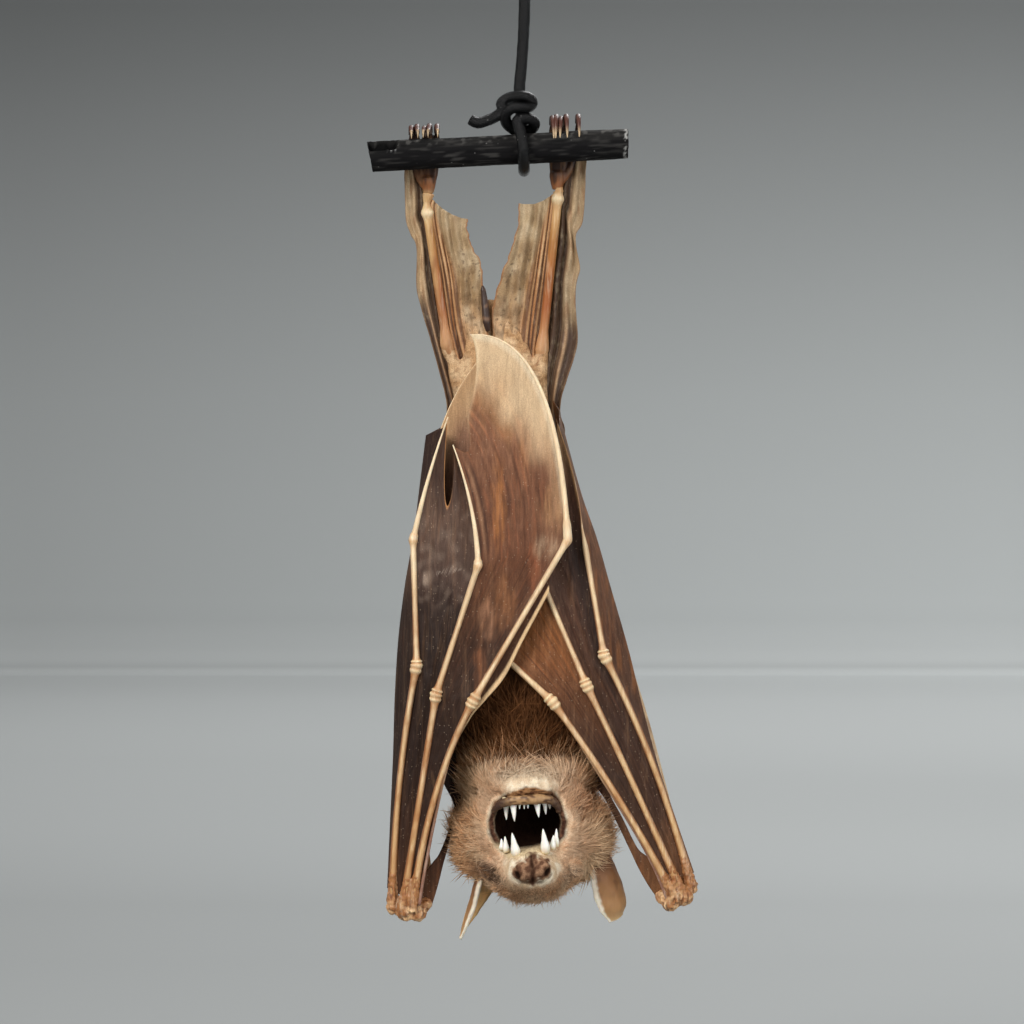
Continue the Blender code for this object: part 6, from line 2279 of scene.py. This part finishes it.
    def roots(
        self, skin: bpy.types.Object, rng: np.random.Generator
    ) -> tuple[np.ndarray, np.ndarray, np.ndarray]:
        """Scatters the roots over the furred skin.

        Args:
            skin: The body's skin.
            rng: The source of all chance.

        Returns:
            Places in millimetres, normals, and places on the skin's unwrap.
        """
        mesh = skin.data
        mesh.calc_loop_triangles()
        points = rows_of(mesh.vertices, "co", 3) / MM
        normals = rows_of(mesh.vertices, "normal", 3)
        corners = rows_of(mesh.loop_triangles, "vertices", 3, np.int32)
        loops = rows_of(mesh.loop_triangles, "loops", 3, np.int32)
        flat = rows_of(mesh.uv_layers["Unwrap"].uv, "vector", 2)
        a, b, c = (points[corners[:, k]] for k in range(3))
        area = np.linalg.norm(np.cross(b - a, c - a), axis=1) / 2
        weight = area * self.density((a + b + c) / 3)
        picked = rng.choice(len(area), size=self.count, p=weight / weight.sum())
        one, two = rng.random(self.count), rng.random(self.count)
        over = one + two > 1
        one[over], two[over] = 1 - one[over], 1 - two[over]
        shares = np.column_stack([1 - one - two, one, two])
        places = mixed(points, corners[picked], shares)
        leans = unit(mixed(normals, corners[picked], shares))
        charted = mixed(flat, loops[picked], shares)
        chance = rng.random(self.count)
        outward = unit(
            np.column_stack([places[:, 0] - MOUTH_X, np.zeros(len(places)), places[:, 2] - MOUTH_Z])
        )
        inward = np.sum(leans * outward, axis=1) < -0.1
        inward &= (from_mouth(places) < 10.5) & (places[:, 1] < -3.0)
        furred = [
            bare_share(tuple(p)) < q * 0.9 + 0.02 and not self.in_mouth(p) for p, q in zip(places, chance)
        ]
        keep = np.array(furred) & ~inward
        return places[keep], leans[keep], charted[keep]

    def in_mouth(self, place: Point) -> bool:
        """Whether a place is on the inside of the mouth or on the nose."""
        x, y, z = place
        if z > THROAT_Z or y > FACE_BACK_Y:
            return False
        return rim_distance(x, z) < 0.5 or nose_share(tuple(place)) > 0.02

    def tints(self, places: np.ndarray, rng: np.random.Generator) -> tuple[np.ndarray, np.ndarray]:
        """The colours of each tuft's root and tip."""
        base = np.array([pelage(tuple(place)) for place in places])
        vary = rng.normal(1.0, 0.16, (len(places), 1))
        odd = rng.random(len(places))[:, None]
        head = (ease_all(THROAT_Z, -184.0, places[:, 2]))[:, None]
        cream = np.array(tone(236, 202, 168))
        dark = np.array(tone(70, 42, 26))
        # Painted shadow of the wings: tufts on the front of the neck and belly get darker tips with less
        # cream.
        belly = ease_all(-180.0, -174.0, places[:, 2])[:, None] * ease_all(9.0, 5.5, places[:, 1])[:, None]
        tip = base * vary * (1.25 + 1.2 * head - 0.15 * belly)
        tip = np.where(odd > 0.84, tip * 0.6 + cream * (0.1 + 0.36 * head - 0.08 * belly), tip)
        tip = np.where(odd < 0.14, tip * 0.45 + dark * 0.4, tip)
        tip = tip * np.minimum(1.0, 0.86 / np.maximum(tip.max(axis=1, keepdims=True), 0.01))
        return np.clip(base * (0.5 + 0.45 * head) * vary, 0, 1), tip

    def build(self, skin: bpy.types.Object) -> None:
        """Grows the coat on the skin, in pieces from the belly's top down to the crown."""
        rng = np.random.default_rng(self.seed)
        places, normals, charted = self.roots(skin, rng)
        order = np.argsort(-places[:, 2])
        places, normals, charted = places[order], normals[order], charted[order]
        start, flow = self.lie(places, normals, rng)
        length = self.lengths(places) * np.clip(rng.normal(1.0, 0.22, len(places)), 0.45, 1.7)
        cells = np.floor(places / self.clump).astype(np.int64)
        keys = np.bitwise_xor.reduce(cells * np.array(CELL_HASH), axis=1)
        _, which, sizes = np.unique(keys, return_inverse=True, return_counts=True)
        middle = np.column_stack([np.bincount(which, places[:, k]) / sizes for k in range(3)])
        gather = (middle[which] - places) * self.gather
        root_tint, tip_tint = self.tints(places, rng)
        width = (
            np.clip(0.045 + 0.013 * length, 0.045, 0.11)
            * np.clip(rng.normal(1.0, 0.2, len(places)), 0.6, 1.5)
        )
        curl = rng.normal(0.0, 0.16, (len(places), 3))
        droop = flow * 0.35 - normals * 0.22 + curl
        centers = [
            places - normals * self.sunk + (start * t + droop * t * t) * length[:, None] + gather * t
            for t in (*self.rings, 1.0)
        ]
        tips = centers[-1]
        clear = np.array(
            [p[1] > 0.0 or p[2] > THROAT_Z or rim_distance(t[0], t[2]) > 0.25 for p, t in zip(places, tips)]
        )
        clear &= ~((tips[:, 0] > 14.2) & (places[:, 2] > -150.0))
        centers = [center[clear] for center in centers]
        normals, width, charted = normals[clear], width[clear], charted[clear]
        root_tint, tip_tint = root_tint[clear], tip_tint[clear]
        for number, first in enumerate(range(0, len(width), self.per_piece)):
            rows = slice(first, min(first + self.per_piece, len(width)))
            self.build_piece(f"coat_{number + 1}", [c[rows] for c in centers], normals[rows], width[rows],
                             charted[rows],
                             root_tint[rows], tip_tint[rows])

    def build_piece(self, name: str, centers: list[np.ndarray], normals: np.ndarray, width: np.ndarray,
                    charted: np.ndarray,
                    root_tint: np.ndarray, tip_tint: np.ndarray) -> bpy.types.Object:
        """Joins one run of tufts into a mesh.

        Args:
            name: The piece's name.
            centers: The tufts' middle lines, one array for each ring and one for the tips.
            normals: The skin's normals at the roots.
            width: Half the width of each tuft at its root.
            charted: The roots' places on the skin's unwrap.
            root_tint: The colours of the roots.
            tip_tint: The colours of the tips.

        Returns:
            The new piece.
        """
        count = len(width)
        points, tints, charts = [], [], []
        for ring, t in enumerate(self.rings):
            run = unit(centers[ring + 1] - centers[max(ring - 1, 0)])
            side = unit(np.cross(run, normals))
            rise = np.cross(side, run)
            size = (width * (1 - 0.75 * t ** 1.4))[:, None]
            for corner in range(3):
                turn = 2 * math.pi * corner / 3 + math.pi / 2
                points.append(centers[ring] + (side * math.cos(turn) + rise * (0.7 * math.sin(turn))) * size)
                tints.append(root_tint + (tip_tint - root_tint) * min(1.0, 1.25 * t))
                charts.append(charted + np.array([0.0011 * math.cos(turn), 0.0028 * (t - 0.5)]))
        points.append(centers[-1])
        tints.append(tip_tint)
        charts.append(charted + np.array([0.0, 0.0014]))
        points = np.stack(points, axis=1).reshape(-1, 3) * MM
        tints = np.stack(tints, axis=1).reshape(-1, 3)
        charts = np.stack(charts, axis=1).reshape(-1, 2)
        corners = [2, 1, 0]
        sizes = [3]
        for ring in range(2):
            for k in range(3):
                low, high = ring * 3, ring * 3 + 3
                corners += [low + k, low + (k + 1) % 3, high + (k + 1) % 3, high + k]
                sizes.append(4)
        for k in range(3):
            corners += [6 + k, 6 + (k + 1) % 3, 9]
            sizes.append(3)
        per = 10
        corner_rows = (np.arange(count)[:, None] * per + np.array(corners)[None, :]).reshape(-1)
        starts = np.concatenate([[0], np.cumsum(np.tile(sizes, count))[:-1]])
        mesh = bpy.data.meshes.new(name)
        mesh.vertices.add(count * per)
        mesh.vertices.foreach_set("co", points.reshape(-1))
        mesh.loops.add(len(corner_rows))
        mesh.loops.foreach_set("vertex_index", corner_rows.astype(np.int32))
        mesh.polygons.add(len(starts))
        mesh.polygons.foreach_set("loop_start", starts.astype(np.int32))
        mesh.update(calc_edges=True)
        chart = mesh.uv_layers.new(name="OFBake")
        chart.uv.foreach_set("vector", charts[corner_rows].reshape(-1))
        tint = mesh.color_attributes.new("Tint", "FLOAT_COLOR", "POINT")
        tint.data.foreach_set("color", np.column_stack([tints, np.ones(len(tints))]).reshape(-1))
        mesh.shade_smooth()
        piece = bpy.data.objects.new(name, mesh)
        bpy.context.collection.objects.link(piece)
        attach(piece, "root")
        COAT.dress(piece)
        LOG.info("%s: %d tufts", name, count)
        return piece


def unwrap(piece: bpy.types.Object) -> None:
    """Lays the piece's faces out flat, in a UV map named Unwrap."""
    for old in list(piece.data.uv_layers):
        piece.data.uv_layers.remove(old)
    piece.data.uv_layers.new(name="Unwrap")
    bpy.context.view_layer.objects.active = piece
    piece.select_set(True)
    bpy.ops.object.mode_set(mode="EDIT")
    bpy.ops.mesh.select_all(action="SELECT")
    bpy.ops.uv.smart_project(angle_limit=math.radians(66), island_margin=0.002)
    bpy.ops.object.mode_set(mode="OBJECT")
    piece.select_set(False)


def main() -> None:
    """Builds the bat over its solids, piece by piece."""
    logging.basicConfig(level=logging.INFO, format="%(message)s")
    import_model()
    Room().build()
    perch = Perch()
    perch.build()
    Cord().build(Hook().build())
    for leg in LEGS:
        leg.build(perch)
    skin = Body().build()
    for ear in EARS:
        ear.build()
    unwrap(skin)
    Coat().build(skin)
    for wing in WINGS:
        wing.build()


if __name__ == "__main__":
    main()
